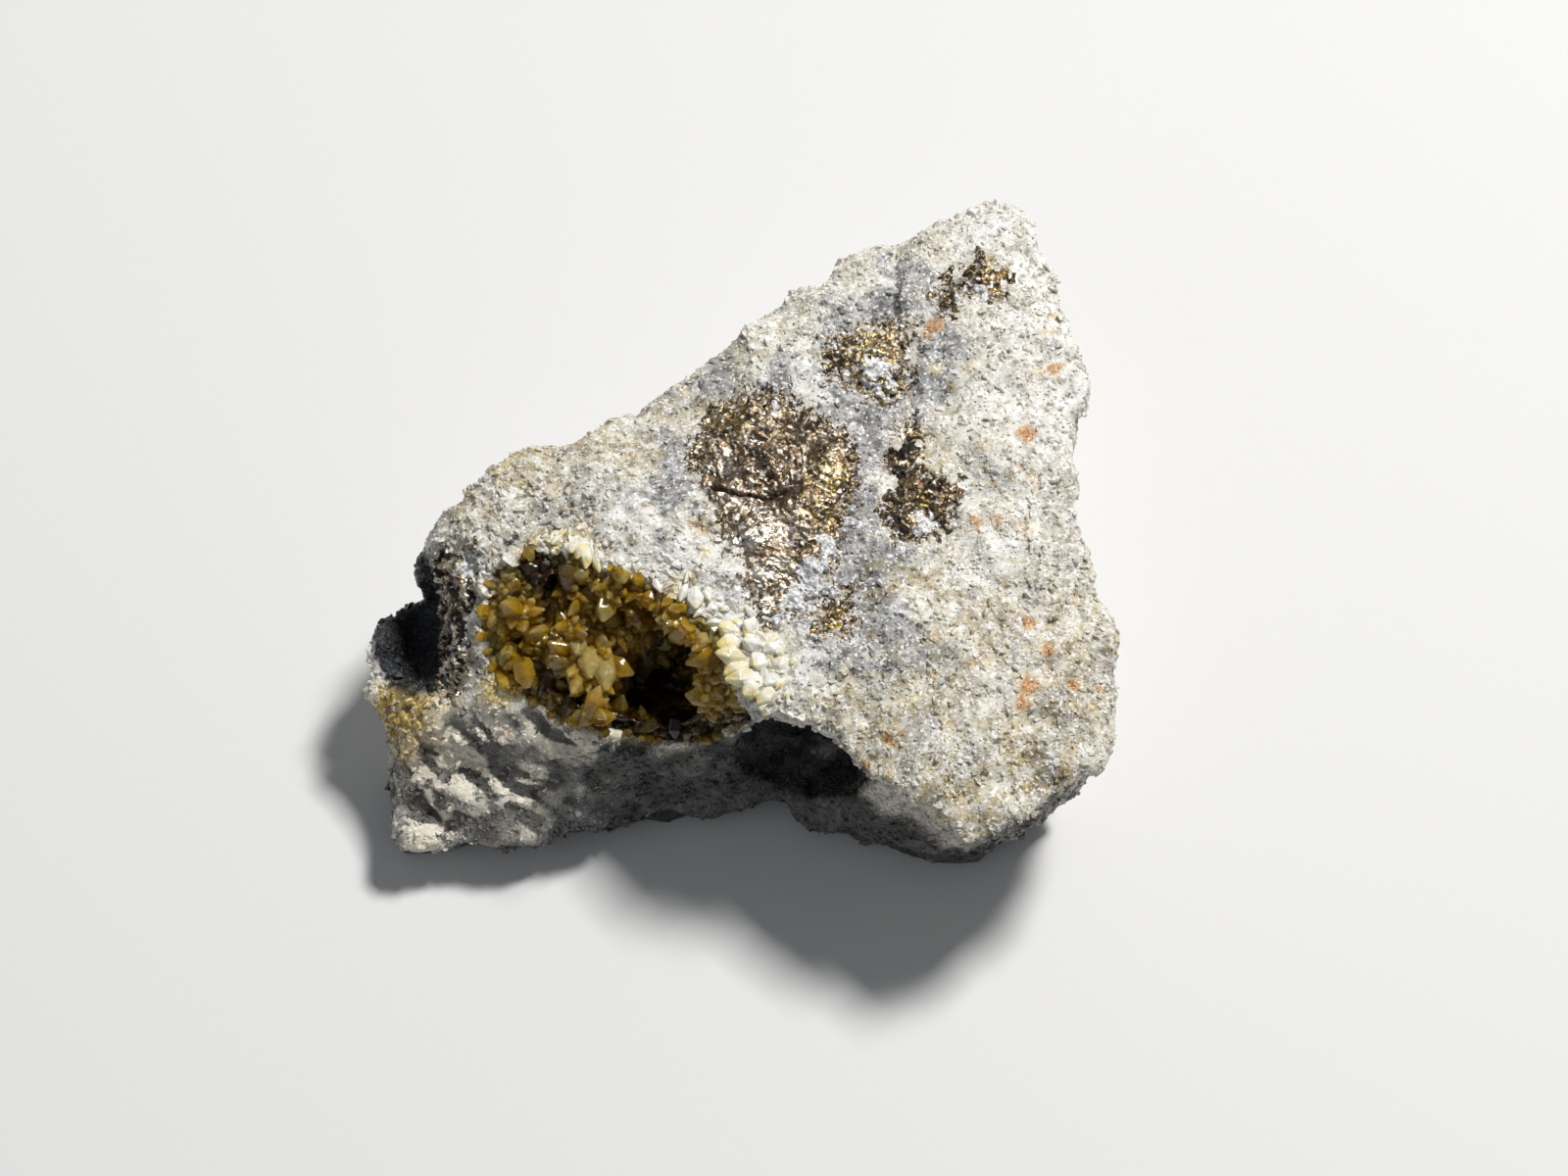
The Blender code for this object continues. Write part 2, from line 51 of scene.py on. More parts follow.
# Camera: it looks down on the specimen as in the photograph, 16 pixels to a millimetre.
ELEVATION = math.radians(68.0)
LENS = 120.0
SENSOR = 36.0
TARGET = np.array([2.876, -3.288, 10.0])
DISTANCE = 333.333
PHOTO = (1600, 1200)
RIGHT = np.array([1.0, 0.0, 0.0])
UP = np.array([0.0, math.sin(ELEVATION), math.cos(ELEVATION)])
FORWARD = np.array([0.0, math.cos(ELEVATION), -math.sin(ELEVATION)])
EYE = TARGET - FORWARD * DISTANCE
PIXEL = SENSOR / LENS / PHOTO[0]

# Places called part numbers are the CAD source's own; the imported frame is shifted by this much.
SHIFT = np.array([0.176, -0.088, 0.0])

# Stone: size of its squares, how far the fillings below the metal masses grow and sink, how high
# above the floor its relief begins, and that relief: waves, streaks, pits, cracks, beds of metal.
STONE_VOXEL = 0.3
FILL_GROW = 0.38
FILL_DROP = 0.3
FOOT_CLEAR = 0.9
STONE_WAVES = ((0.20, 3.6, 1), (0.13, 1.7, 2), (0.09, 0.85, 3))
TONE_WAVES = ((0.35, 0.9, 5), (0.3, 0.4, 6))
STREAK_RELIEF = 0.15
PIT_SEED = 71
PIT_SIZE = 1.7
PIT_DEPTH = 0.35
PIT_SHARE = 0.45
CRACK_DEPTH = 0.5
CRACK_WIDTH = 0.22
METAL_BED = 0.25

# Grains on the stone: kinds, pieces, how far they tilt, how many, how large, and how low the
# widest part of each lies.
GRAIN_KINDS = 26
GRAIN_PIECES = 3
GRAIN_TILT = 0.5
GRAIN_DENSITY = 0.56
GRAIN_SIZE = (0.11, 0.40)
GRAIN_SEED = 7
GRAIN_SHOULDER = -0.28

# Outlines of the metal masses on the stone, seen from above, in part numbers.
OUTLINES = {
    "calaverite_main": [
        (-3.2, 3.6), (-1.9, 6.2), (0.2, 7.4), (2.7, 6.6), (4.9, 5.4), (7.0, 3.4), (6.9, 0.6),
        (6.0, -1.4), (5.6, -4.4), (3.9, -7.6), (1.2, -8.4), (0.6, -5.4), (-0.6, -3.2),
        (-1.6, -0.4), (-2.8, 1.4)],
    "calaverite_upper": [
        (5.8, 11.0), (8.0, 12.2), (10.6, 12.4), (10.8, 9.4), (9.8, 6.9), (7.6, 7.4),
        (5.8, 8.6)],
    "calaverite_vein": [
        (10.4, 5.4), (11.9, 4.4), (11.2, 2.2), (13.4, 0.4), (12.6, -1.6), (11.4, -2.6),
        (9.8, -2.7), (8.9, -0.5), (9.5, 2.8)],
    "calaverite_top": [
        (13.0, 15.8), (15.6, 16.8), (17.2, 15.6), (16.2, 14.0), (14.4, 14.4), (13.6, 13.0),
        (12.6, 13.8)],
    "calaverite_lower": [
        (5.2, -6.6), (6.5, -6.2), (7.0, -8.4), (6.3, -9.4), (5.2, -8.9)],
    "calaverite_edge": [
        (-18.8, -2.2), (-17.4, -2.4), (-16.8, -4.2), (-16.7, -7.0), (-16.8, -9.2),
        (-17.6, -10.4), (-19.0, -10.0), (-18.6, -7.4), (-18.9, -4.8)],
}

# Zones of colour.
SPOTS = {
    "rust": [
        (1050, 634, 0.5, 1.0), (1069, 666, 0.55, 1.0), (1050, 701, 0.8, 1.0),
        (1043, 718, 0.7, 0.9),
        (1096, 699, 0.5, 1.0), (1121, 701, 0.5, 0.8), (1099, 610, 0.5, 0.6), (948, 595, 0.5, 0.6),
        (906, 755, 0.55, 0.9), (919, 749, 0.4, 0.7), (880, 783, 0.5, 1.0), (994, 673, 0.35, 0.6),
        (956, 653, 0.35, 0.6), (954, 329, 0.7, 0.9), (1076, 378, 0.5, 0.9), (1049, 443, 0.7, 0.9),
        (1041, 478, 0.45, 0.6), (1012, 492, 0.45, 0.7), (1057, 498, 0.45, 0.6),
        (998, 533, 0.45, 0.8), (1019, 529, 0.45, 0.8), (1043, 535, 0.35, 0.6),
        (713, 535, 0.6, 0.6),
        (583, 518, 0.4, 0.5), (639, 466, 0.4, 0.6), (515, 748, 0.35, 0.8), (556, 747, 0.5, 0.9),
        (600, 762, 0.5, 0.7), (515, 794, 0.4, 0.7), (1020, 339, 0.5, 0.5),
    ],
    "warm": [
        (520, 470, 2.6, 0.8), (600, 452, 2.2, 0.7), (680, 412, 2.0, 0.8), (560, 490, 2.0, 0.6),
        (480, 512, 1.8, 0.7), (750, 362, 2.0, 0.6), (790, 330, 2.0, 0.5), (660, 470, 1.6, 0.5),
        (905, 590, 1.8, 0.9), (950, 700, 3.0, 0.7), (1050, 780, 3.4, 0.9), (985, 825, 3.0, 0.9),
        (1080, 700, 3.0, 0.8), (1000, 640, 3.0, 0.6), (1040, 520, 1.6, 0.2), (945, 470, 1.2, 0.9),
        (900, 760, 2.6, 0.7), (1100, 640, 2.4, 0.5), (850, 715, 2.0, 0.6), (640, 420, 1.6, 0.6),
        (420, 740, 3.0, 1.0), (400, 720, 2.0, 1.0), (715, 535, 0.9, 0.8), (940, 590, 1.2, 0.7),
    ],
    "halo": [
        (700, 470, 1.6, 0.8), (675, 505, 1.6, 0.8), (700, 400, 1.6, 0.5), (740, 385, 1.5, 0.6),
        (800, 395, 2.2, 0.9), (850, 390, 2.0, 0.9), (870, 450, 2.2, 0.9), (880, 520, 2.2, 0.9),
        (870, 590, 2.2, 0.9), (900, 570, 1.8, 0.8), (840, 640, 2.2, 0.9), (900, 645, 1.9, 0.7),
        (800, 610, 2.0, 0.8), (790, 650, 1.6, 0.8), (860, 345, 2.0, 0.9), (905, 310, 1.8, 0.8),
        (945, 400, 1.6, 0.9), (960, 345, 1.4, 0.6), (925, 285, 1.6, 0.6), (890, 430, 1.8, 1.0),
        (660, 560, 2.0, 0.5), (600, 530, 2.0, 0.5), (960, 300, 1.6, 0.5), (930, 570, 1.5, 0.6),
        (960, 520, 1.4, 0.5), (985, 290, 1.3, 0.5), (930, 660, 1.8, 0.4), (700, 560, 1.8, 0.5),
    ],
    "white": [
        (1010, 225, 2.4, 0.9), (1050, 262, 2.4, 0.8), (1080, 330, 2.6, 0.8), (1092, 400, 2.2, 0.8),
        (1040, 330, 2.0, 0.6), (780, 345, 1.8, 0.6), (815, 425, 1.2, 0.6), (650, 590, 2.2, 0.9),
        (640, 525, 2.0, 0.8), (800, 670, 2.4, 0.7), (770, 655, 1.6, 0.8), (990, 250, 1.6, 0.6),
        (740, 600, 1.9, 0.9), (1070, 440, 2.4, 0.6), (1020, 400, 2.4, 0.5), (1010, 560, 2.4, 0.5),
        (1040, 500, 2.6, 0.5), (830, 390, 1.6, 0.7), (770, 380, 1.2, 0.6), (860, 480, 0.9, 0.6),
        (720, 640, 1.6, 0.9), (600, 560, 1.6, 0.7), (700, 565, 1.8, 0.8),
    ],
    "amber": [
        (745, 690, 1.2, 0.8), (600, 575, 1.4, 0.7), (560, 560, 1.6, 0.6), (690, 610, 1.3, 0.5),
        (640, 590, 1.3, 0.5), (500, 640, 1.0, 0.7), (440, 735, 1.3, 0.6), (510, 700, 1.4, 0.8),
        (650, 750, 1.5, 0.5), (760, 720, 1.2, 0.6), (412, 738, 2.6, 0.9), (400, 720, 1.4, 0.8),
        (450, 720, 1.2, 0.5), (590, 560, 1.6, 0.4), (775, 665, 1.6, 0.35),
    ],
    "ledge": [
        (480, 770, 3.6, 1.0), (525, 800, 2.4, 1.0), (440, 835, 2.6, 1.0), (570, 755, 1.6, 1.0),
        (432, 800, 1.8, 0.9), (495, 840, 1.8, 0.9), (405, 790, 1.2, 0.8), (600, 750, 1.0, 1.0),
        (540, 840, 1.4, 0.9), (430, 860, 1.6, 1.0), (560, 790, 1.8, 1.0), (595, 765, 1.2, 0.9),
        (470, 868, 1.5, 1.0), (500, 752, 1.8, 1.0), (550, 742, 1.4, 1.0),
    ],
    "dark": [
        (1071, 634, 0.5, 0.6), (1106, 653, 0.3, 0.5), (1006, 292, 0.9, 0.6), (945, 355, 0.4, 0.8),
        (520, 553, 0.6, 0.8), (498, 540, 0.5, 0.7), (862, 350, 0.5, 0.6), (1025, 300, 0.5, 0.6),
        (428, 755, 0.5, 0.6), (1063, 600, 0.3, 0.7), (1120, 640, 0.3, 0.6), (845, 742, 0.5, 0.6),
        (966, 313, 0.4, 0.9), (1018, 338, 0.6, 0.6), (915, 298, 0.4, 0.6), (1003, 428, 0.2, 0.9),
        (1015, 418, 0.2, 0.7), (1070, 520, 0.7, 0.5), (1030, 560, 0.5, 0.4),
    ],
    # Within the metal: bright gold, black crevices, painted highlights, quartz that shows between
    # it.
    "gold": [
        (890, 350, 1.3, 1.0), (920, 325, 0.7, 0.7), (903, 408, 0.8, 0.8), (1012, 291, 0.9, 1.0),
        (852, 486, 1.0, 0.9), (838, 478, 0.7, 0.8), (745, 425, 1.5, 0.5), (712, 452, 0.8, 0.7),
        (838, 525, 0.9, 0.8), (851, 625, 1.6, 1.0), (940, 515, 1.0, 0.5), (500, 690, 1.5, 0.8),
        (925, 445, 0.9, 0.4),
    ],
    "dark_patch": [
        (857, 365, 1.2, 0.7), (930, 385, 0.8, 0.6), (776, 445, 0.8, 0.7), (778, 470, 0.7, 0.7),
        (918, 458, 0.8, 0.9), (916, 482, 0.8, 0.9), (918, 508, 0.7, 0.8), (915, 535, 0.6, 0.7),
        (980, 285, 0.8, 0.9), (982, 305, 0.8, 0.8), (770, 625, 1.2, 0.5), (740, 480, 0.8, 0.4),
        (455, 590, 1.2, 0.5), (470, 640, 1.0, 0.5), (915, 330, 0.5, 0.6),
    ],
    "shine": [
        (765, 540, 1.8, 1.0), (775, 585, 1.5, 0.9), (735, 475, 1.1, 0.7), (715, 450, 0.8, 0.6),
        (800, 530, 1.2, 0.7), (750, 515, 1.2, 0.8), (640, 570, 1.0, 0.5), (490, 640, 1.3, 0.8),
        (480, 700, 1.3, 0.8), (462, 570, 0.9, 0.8), (478, 665, 1.2, 0.8), (495, 615, 1.0, 0.7),
    ],
    "quartz": [
        (895, 384, 1.4, 0.5), (836, 594, 1.5, 0.75), (818, 622, 1.2, 0.75), (848, 560, 0.9, 0.6),
        (998, 303, 0.8, 0.9), (946, 535, 0.8, 0.6), (800, 640, 1.0, 0.8), (480, 575, 0.9, 0.5),
        (700, 480, 0.6, 0.4),
    ],
}
# How each zone ends: seed of its border and how ragged it is.
BORDERS = {
    "warm": (41, 0.5), "halo": (43, 0.5), "white": (45, 0.5), "amber": (47, 0.3),
    "rust": (49, 0.4), "dark": (51, 0.4), "ledge": (53, 0.3), "quartz": (57, 0.35),
    "gold": (58, 0.5), "dark_patch": (59, 0.5), "shine": (60, 0.5), "recess": (126, 0.3),
}
# What the stone's material reads: shares of zones, and other numbers.
STONE_ZONES = ("warm", "halo", "white", "amber", "rust", "dark")
OTHER_ZONES = ("tone", "fleck", "shade", "streak", "sheared")

# Cracks, as lines of photo pixels.
CRACKS = [
    [(913, 250), (915, 290), (917, 330), (928, 365), (936, 400), (930, 440), (922, 500)],
    [(411, 799), (421, 786), (433, 777)],
    [(845, 742), (868, 775), (900, 800)],
]
# Dark crevices in the metal, as lines of photo pixels.
CREVICES = [
    [(706, 428), (727, 417), (748, 436), (783, 456), (800, 470), (828, 478)],
    [(768, 425), (775, 440), (778, 475), (790, 497)],
    [(703, 458), (722, 482), (742, 505), (750, 528)],
    [(762, 520), (772, 540), (768, 566), (780, 590)],
    [(800, 440), (812, 452), (835, 462), (858, 490), (862, 505)],
    [(822, 520), (838, 532), (846, 548)],
    [(731, 450), (752, 470), (762, 490)],
    [(930, 392), (921, 430), (918, 470), (922, 500), (914, 530)],
    [(930, 470), (945, 492), (958, 520)],
    [(868, 338), (878, 362), (872, 384)],
    [(905, 322), (914, 344), (926, 362)],
    [(982, 280), (988, 300), (978, 316)],
]
# Direction of the streaks on the sheared front, and how long they are drawn.
STREAK_WAY = np.array([0.78, -0.3, -0.55])
STREAK_DRAW = 0.82

# The lower edge of the broad top face in photo pixels: the walls below it get painted shade.
TOP_EDGE = [(300, 790), (450, 782), (470, 750), (500, 712), (600, 735), (680, 757), (767, 735),
            (814, 743), (852, 774), (881, 803), (937, 837), (975, 860), (1004, 852),
            (1042, 828), (1108, 790), (1300, 700)]
# Hollows of the front and the left flank: centre and half sizes in part numbers, as in the CAD
# source, and how far out their painted shade goes.
FLANK_HOLLOWS = [((4.6, -13.0, 8.6), (5.2, 3.2, 5.4), 1.2),
                 ((-20.7, -5.7, 10.4), (2.3, 3.5, 4.9), 1.42)]

# The crystal hollow, as in the CAD source: centre, direction along it, direction into it and
# half sizes.
HOLLOW_CENTRE = np.array([-7.8, -8.6, 13.1])
HOLLOW_ALONG = np.array([0.905, -0.425, 0.0])
HOLLOW_INWARD = np.array([0.28, 0.60, -0.75])
HOLLOW_HALF = np.array([8.8, 5.2, 7.4])

# Its crust: how far it grows towards the stone, size of its squares, how far its rim sinks and
# its relief. The crystals on it: sizes, how many, how close in shares of their sizes.
CRUST_GROW = 0.3
CRUST_VOXEL = 0.2
CRUST_LIP_DROP = 0.75
CRUST_WAVES = ((0.16, 1.1, 121), (0.10, 0.5, 122))
CRYSTAL_SIZE = (0.6, 1.6)
CRYSTAL_MOST = 1300
CRYSTAL_SPACING = 0.29
CRYSTAL_KINDS = 12
CRYSTAL_SEED = 5
# The crust's bed is darker than the crystals: partly painted shade in the gaps between them.
BED_COLOURS = ((0.06, 0.025, 0.001), (0.24, 0.12, 0.006), (0.50, 0.33, 0.06))
AMBER_COLOURS = ((0.40, 0.20, 0.004), (0.88, 0.57, 0.03), (0.98, 0.86, 0.33))
PALE_COLOURS = ((0.88, 0.66, 0.18), (0.97, 0.88, 0.50), (0.99, 0.98, 0.92))
QUARTZ_IOR = 1.544
# Looks of the quartz: colours from dark to light, transmission, colour and density of what it
# absorbs, how much lighter its tips are, how sugary its surface is.
QUARTZ = {
    "crust_bed": (BED_COLOURS, 0.0, None, 0.45, 0.8),
    "amber_quartz": (AMBER_COLOURS, 0.75, ((1.0, 0.74, 0.2), 420.0), 0.45, 0.0),
    "pale_quartz": (PALE_COLOURS, 0.2, ((0.98, 0.90, 0.58), 220.0), -0.6, 0.7),
}

# Recesses of the hollow with painted shade: crust and crystals there are darkened in colour.
RECESSES = [
    (557, 584, 1.4, 1.0), (545, 578, 1.0, 1.0), (567, 594, 0.8, 0.9), (655, 712, 2.0, 1.0),
    (680, 700, 1.8, 1.0), (640, 735, 1.6, 1.0), (560, 690, 1.1, 0.9), (585, 710, 1.0, 0.9),
    (715, 725, 1.6, 0.9), (670, 660, 1.1, 0.7), (690, 735, 1.6, 1.0), (740, 735, 1.2, 0.7),
    (530, 705, 0.8, 0.7),
]
# Small crystals on the rim: how many, how close, and companions of each large one.
RIM_MOST = 420
RIM_SPACING = 0.33
RIM_COMPANIONS = 7
# Seen from above, they grow on one side of a line: the way across it and how far it lies.
RIM_SIDE = np.array([0.45, 0.9, 0.0])
RIM_FROM = -12.2
RIM_WAVES = ((1.0, 1.6, 131), (0.6, 0.7, 132))

# Crystals that stand out: foot, direction, length, width, in part numbers. Smaller ones keep
# clear of their heads.
KEY_CLEAR = 1.2
KEY_CRYSTALS = [
    ((-11.4, -8.6, 13.0), (-0.35, -0.85, 0.35), 1.9, 1.6),
    ((-10.6, -9.2, 12.8), (-0.05, -0.9, 0.15), 2.0, 1.6),
    ((-9.7, -9.0, 13.0), (0.1, -0.85, 0.3), 2.2, 1.8),
    ((-8.8, -8.9, 12.8), (0.15, -0.9, 0.1), 2.8, 1.7),
    ((-10.2, -8.6, 13.6), (-0.1, -0.7, 0.65), 1.5, 1.5),
    ((-8.7, -8.9, 11.4), (0.0, -0.95, -0.2), 3.2, 1.2),
    ((-7.3, -7.2, 11.4), (-0.5, -0.8, 0.2), 1.6, 1.5),
    ((-6.3, -7.4, 11.2), (0.0, -0.9, 0.1), 1.2, 1.5),
    ((-5.2, -7.0, 11.4), (0.6, -0.8, 0.2), 1.4, 1.5),
    ((-13.9, -6.2, 13.8), (0.3, -0.6, 0.7), 1.5, 1.6),
]
# Crystals on the rim: photo pixel of the foot, direction, length, width, tone.
RIM_CRYSTALS = [
    ((583, 556), (0.1, -1.0, 0.5), 0.9, 0.9, 0.6), ((592, 560), (-0.3, -1.0, 0.3), 1.0, 1.0, 0.5),
    ((599, 565), (-0.1, -1.0, 0.2), 1.3, 1.0, 0.4), ((609, 570), (0.2, -1.0, 0.2), 1.2, 0.8, 0.5),
    ((566, 552), (-0.4, -0.8, 0.6), 0.5, 0.7, 0.6), ((638, 583), (-0.3, -0.8, 0.6), 0.6, 0.7, 0.9),
    ((672, 597), (0.2, -1.0, 0.5), 0.8, 0.8, 0.9), ((697, 606), (-0.3, -0.9, 0.5), 0.9, 0.9, 0.9),
    ((710, 607), (0.0, -1.0, 0.3), 1.3, 1.1, 0.9), ((721, 604), (0.3, -1.0, 0.4), 0.9, 0.9, 0.9),
    ((745, 634), (-0.8, -0.5, 0.4), 0.9, 1.1, 1.0), ((748, 644), (-0.9, 0.1, 0.7), 1.3, 1.3, 0.5),
    ((751, 655), (-0.9, -0.4, 0.5), 1.6, 1.4, 0.5), ((755, 668), (-1.0, -0.1, 0.5), 1.9, 1.6, 0.5),
    ((758, 680), (-0.8, -0.6, 0.5), 1.7, 1.4, 0.5), ((764, 691), (-1.0, -0.3, 0.4), 1.8, 1.5, 0.5),
    ((771, 701), (-0.8, -0.7, 0.3), 1.2, 1.4, 0.5), ((781, 711), (-0.6, -0.8, 0.3), 0.9, 1.2, 0.5),
    ((766, 640), (-0.6, 0.3, 0.8), 0.8, 1.3, 1.0), ((768, 658), (-0.6, 0.0, 0.9), 1.2, 1.4, 1.0),
    ((776, 676), (-0.4, -0.5, 0.9), 1.1, 1.4, 1.0), ((785, 695), (-0.5, -0.6, 0.7), 0.8, 1.3, 1.0),
    ((787, 662), (-0.3, 0.4, 0.9), 0.6, 1.1, 1.0), ((797, 680), (-0.2, -0.2, 1.0), 0.5, 1.1, 1.0),
    ((507, 594), (0.4, -0.5, 0.8), 0.8, 1.3, 0.2), ((519, 588), (0.3, -0.6, 0.8), 0.8, 1.3, 0.15),
    ((531, 597), (0.3, -0.7, 0.7), 0.7, 1.2, 0.1), ((513, 607), (0.6, -0.4, 0.8), 0.7, 1.2, 0.15),
    ((505, 640), (0.8, 0.1, 0.7), 0.8, 1.1, 0.0), ((513, 668), (0.7, 0.2, 0.7), 0.9, 1.1, 0.0),
    ((520, 694), (0.4, 0.3, 0.9), 0.8, 1.1, 0.2), ((535, 704), (0.3, 0.4, 0.9), 0.7, 1.1, 0.5),
]

# Metal: colour of its brighter flakes, how much is dark, how grainy, how much quartz it holds.
METALS = {
    "calaverite_main": ((0.40, 0.31, 0.20), 0.06, 0.15, 0.0),
    "calaverite_upper": ((0.56, 0.43, 0.20), 0.0, 0.6, 0.2),
    "calaverite_vein": ((0.36, 0.27, 0.15), 0.12, 0.5, 0.0),
    "calaverite_top": ((0.52, 0.38, 0.15), 0.06, 0.6, 0.1),
    "calaverite_lower": ((0.54, 0.38, 0.13), 0.08, 0.7, 0.08),
    "calaverite_edge": ((0.60, 0.52, 0.34), 0.15, 1.0, 0.08),
}
# Metal: how far its sheet reaches past its outline, how low it lies there and how far it rises
# inside, relief of its flakes, swells of its surface, thickness, lowest height, share of the
# underside's triangles that stays, waves of its border, crevices.
METAL_REACH = 1.5
METAL_SUNK = -0.35
METAL_RISE = 0.58
METAL_RELIEF = 0.18
METAL_SWELL = 0.2
METAL_BODY = 0.45
METAL_LOWEST = 6.0
METAL_KEPT = 0.54
METAL_BORDER = ((0.75, 1.3, 111), (0.85, 0.5, 112), (0.45, 0.22, 113))
CREVICE_DEPTH = 0.16
CREVICE_WIDTH = 0.15
# Directions of its flakes, and how long they are drawn.
FLAKE_WAYS = ((0.8, -0.55, 0.0), (0.9, -0.42, 0.0), (0.45, -0.9, 0.0))
FLAKE_DRAW = 0.8
# The open fissure, seen from above in part numbers: half its width, its depth, how far the stone
# sinks below it and the height above which it does.
FISSURE = [(-1.7, 0.42), (-0.9, 0.18), (0.2, 0.0), (1.2, -0.16), (2.2, -0.14), (3.1, 0.02)]
FISSURE_REACH = 0.22
FISSURE_DEPTH = 0.85
FISSURE_SINK = 1.5
FISSURE_FLOOR = 14.0

# Studio: place, aim, size, power and colour of each light, the surroundings, the floor.
LIGHTS = {
    "key": ((270.0, 270.0, 600.0), (0.0, 0.0, 8.0), 130.0, 5.6, (1.0, 0.985, 0.96)),
    "fill": ((-500.0, -250.0, 450.0), (0.0, 0.0, 8.0), 500.0, 0.3, (0.9, 0.95, 1.0)),
}
WORLD_COLOUR = (0.93, 0.96, 1.0, 1.0)
WORLD_STRENGTH = 0.15
FLOOR_WIDTH_M = 3.0


def fade(t):
    """Smooth step of a value from 0 to 1."""
    t = np.clip(t, 0.0, 1.0)
    return t * t * (3.0 - 2.0 * t)


def turned_axes(seed):
    """A fixed rotation, so that noise of another seed runs along other axes."""
    angle = 0.7 + 1.3 * seed
    spin = Matrix.Rotation(angle, 3, Vector((0.4, -0.7, 0.6)).normalized())
    return np.array(spin)


def lattice(cells, seed):
    """Repeatable numbers from 0 to 1, one for each whole-number cell."""
    n = cells[:, 0] * 73856093 ^ cells[:, 1] * 19349663 ^ cells[:, 2] * 83492791
    n = (n ^ (seed * 97531 + 1013)) & 0xFFFFFFFF
    n = (n ^ (n >> 15)) * 0x2C1B3C6D & 0xFFFFFFFF
    n = (n ^ (n >> 12)) * 0x297A2D39 & 0xFFFFFFFF
    return ((n ^ (n >> 15)) & 0xFFFFFF) / float(0xFFFFFF)


def noise(points, cell, seed):
    """Smooth noise from -1 to 1 with features of about one cell, in mm."""
    p = points @ turned_axes(seed).T / cell + 11.3 * seed
    low = np.floor(p)
    t = p - low
    t = t * t * t * (t * (t * 6.0 - 15.0) + 10.0)
    low = low.astype(np.int64)
    total = np.zeros(len(p))
    for corner in range(8):
        step = np.array([corner & 1, corner >> 1 & 1, corner >> 2])
        weight = np.prod(np.where(step == 1, t, 1.0 - t), axis=1)
        total += weight * lattice(low + step, seed)
    return total * 2.0 - 1.0


def layered(points, waves):
    """Sum of layers of noise, each given by its height, size and seed."""
    return sum(height * noise(points, cell, seed) for height, cell, seed in waves)


def warped(points, amount, cell, seed):
    """Points that noise of three seeds has moved."""
    moves = [noise(points, cell, seed + k) for k in range(3)]
    return points + amount * np.stack(moves, axis=1)


def unit(vectors):
    """One vector or many at length 1."""
    return vectors / np.linalg.norm(vectors, axis=-1, keepdims=True)


def drawn_out(points, way, share):
    """Points drawn together along a direction, which makes noise of them long that way."""
    along = unit(np.array(way))
    return points - share * (points @ along)[:, None] * along


def on_surface(tree, pixel):
    """The point of the surface that shows at a pixel of the photograph."""
    across, above = (pixel[0] - PHOTO[0] / 2) * PIXEL, (PHOTO[1] / 2 - pixel[1]) * PIXEL
    ray = FORWARD + across * RIGHT + above * UP
    hit = tree.ray_cast(Vector(EYE), Vector(ray).normalized())[0]
    if hit is None:
        hit = EYE + ray * (DISTANCE / np.linalg.norm(ray))
    return np.array(hit)


def pixels_of(points):
    """Where points show in the photograph."""
    away = points - EYE
    scale = 1.0 / (PIXEL * (away @ FORWARD))
    return np.column_stack([PHOTO[0] / 2 + scale * (away @ RIGHT),
                            PHOTO[1] / 2 - scale * (away @ UP)])


def read(parts, what):
    """Three numbers of each vertex or face of a mesh."""
    values = np.empty(len(parts) * 3)
    parts.foreach_get(what, values)
    return values.reshape(-1, 3)


def mesh_points(mesh):
    """Vertex places in mm."""
    return read(mesh.vertices, "co") / MM


def mesh_normals(mesh):
    """Vertex normals."""
    return read(mesh.vertices, "normal")


def set_points(mesh, points):
    """Moves the vertices to places in mm."""
    mesh.vertices.foreach_set("co", (points * MM).ravel())
    mesh.update()


def give(mesh, values):
    """Stores a number for each vertex under each of the names that the materials read."""
    for name, numbers in values.items():
        attribute = mesh.attributes.new(name, "FLOAT", "POINT")
        attribute.data.foreach_set("value", np.asarray(numbers, np.float32))


def smooth_shaded(mesh):
    """Shades all faces smooth."""
    mesh.polygons.foreach_set("use_smooth", np.ones(len(mesh.polygons), bool))


def add_piece(name, mesh, material, slot, *nodes):
    """Puts a mesh in the scene as a piece that rides on the specimen."""
    piece = bpy.data.objects.new(name, mesh)
    bpy.context.scene.collection.objects.link(piece)
    mesh.materials.clear()
    mesh.materials.append(material)
    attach(piece, "root")
    if nodes:
        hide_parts(*nodes)
    return piece


def welded(node, grow=0.0, drop=0.0):
    """A node's mesh as a closed bmesh in metres, grown along its normals and lowered."""
    bm = bmesh.new()
    bm.from_mesh(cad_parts[node].data)
    bmesh.ops.remove_doubles(bm, verts=bm.verts, dist=1e-6)
    bm.normal_update()
    bmesh.ops.recalc_face_normals(bm, faces=bm.faces)
    bm.normal_update()
    moves = [(v, v.normal.copy()) for v in bm.verts]
    for v, normal in moves:
        v.co += normal * grow * MM
        v.co.z -= drop * MM
    return bm


def remeshed(name, parts, voxel):
    """One closed mesh of even squares round several bmeshes."""
    mesh = bpy.data.meshes.new(name)
    joined = bmesh.new()
    for part in parts:
        part.to_mesh(mesh)
        joined.from_mesh(mesh)
        part.free()
    joined.to_mesh(mesh)
    joined.free()
    holder = bpy.data.objects.new(name, mesh)
    bpy.context.scene.collection.objects.link(holder)
    modifier = holder.modifiers.new("even", "REMESH")
    modifier.mode = "VOXEL"
    modifier.voxel_size = voxel * MM
    evaluated = holder.evaluated_get(bpy.context.evaluated_depsgraph_get())
    result = bpy.data.meshes.new_from_object(evaluated)
    bpy.data.objects.remove(holder)
    return result


def tree_of(mesh):
    """Search tree of a mesh, in mm."""
    points = [tuple(p) for p in mesh_points(mesh)]
    return BVHTree.FromPolygons(points, [tuple(f.vertices) for f in mesh.polygons])


def spot_places(tree, spots):
    """Spots given by photo pixels, as places on the stone with radius and strength."""
    return np.array([[*on_surface(tree, s[:2]), s[2], s[3]] for s in spots])


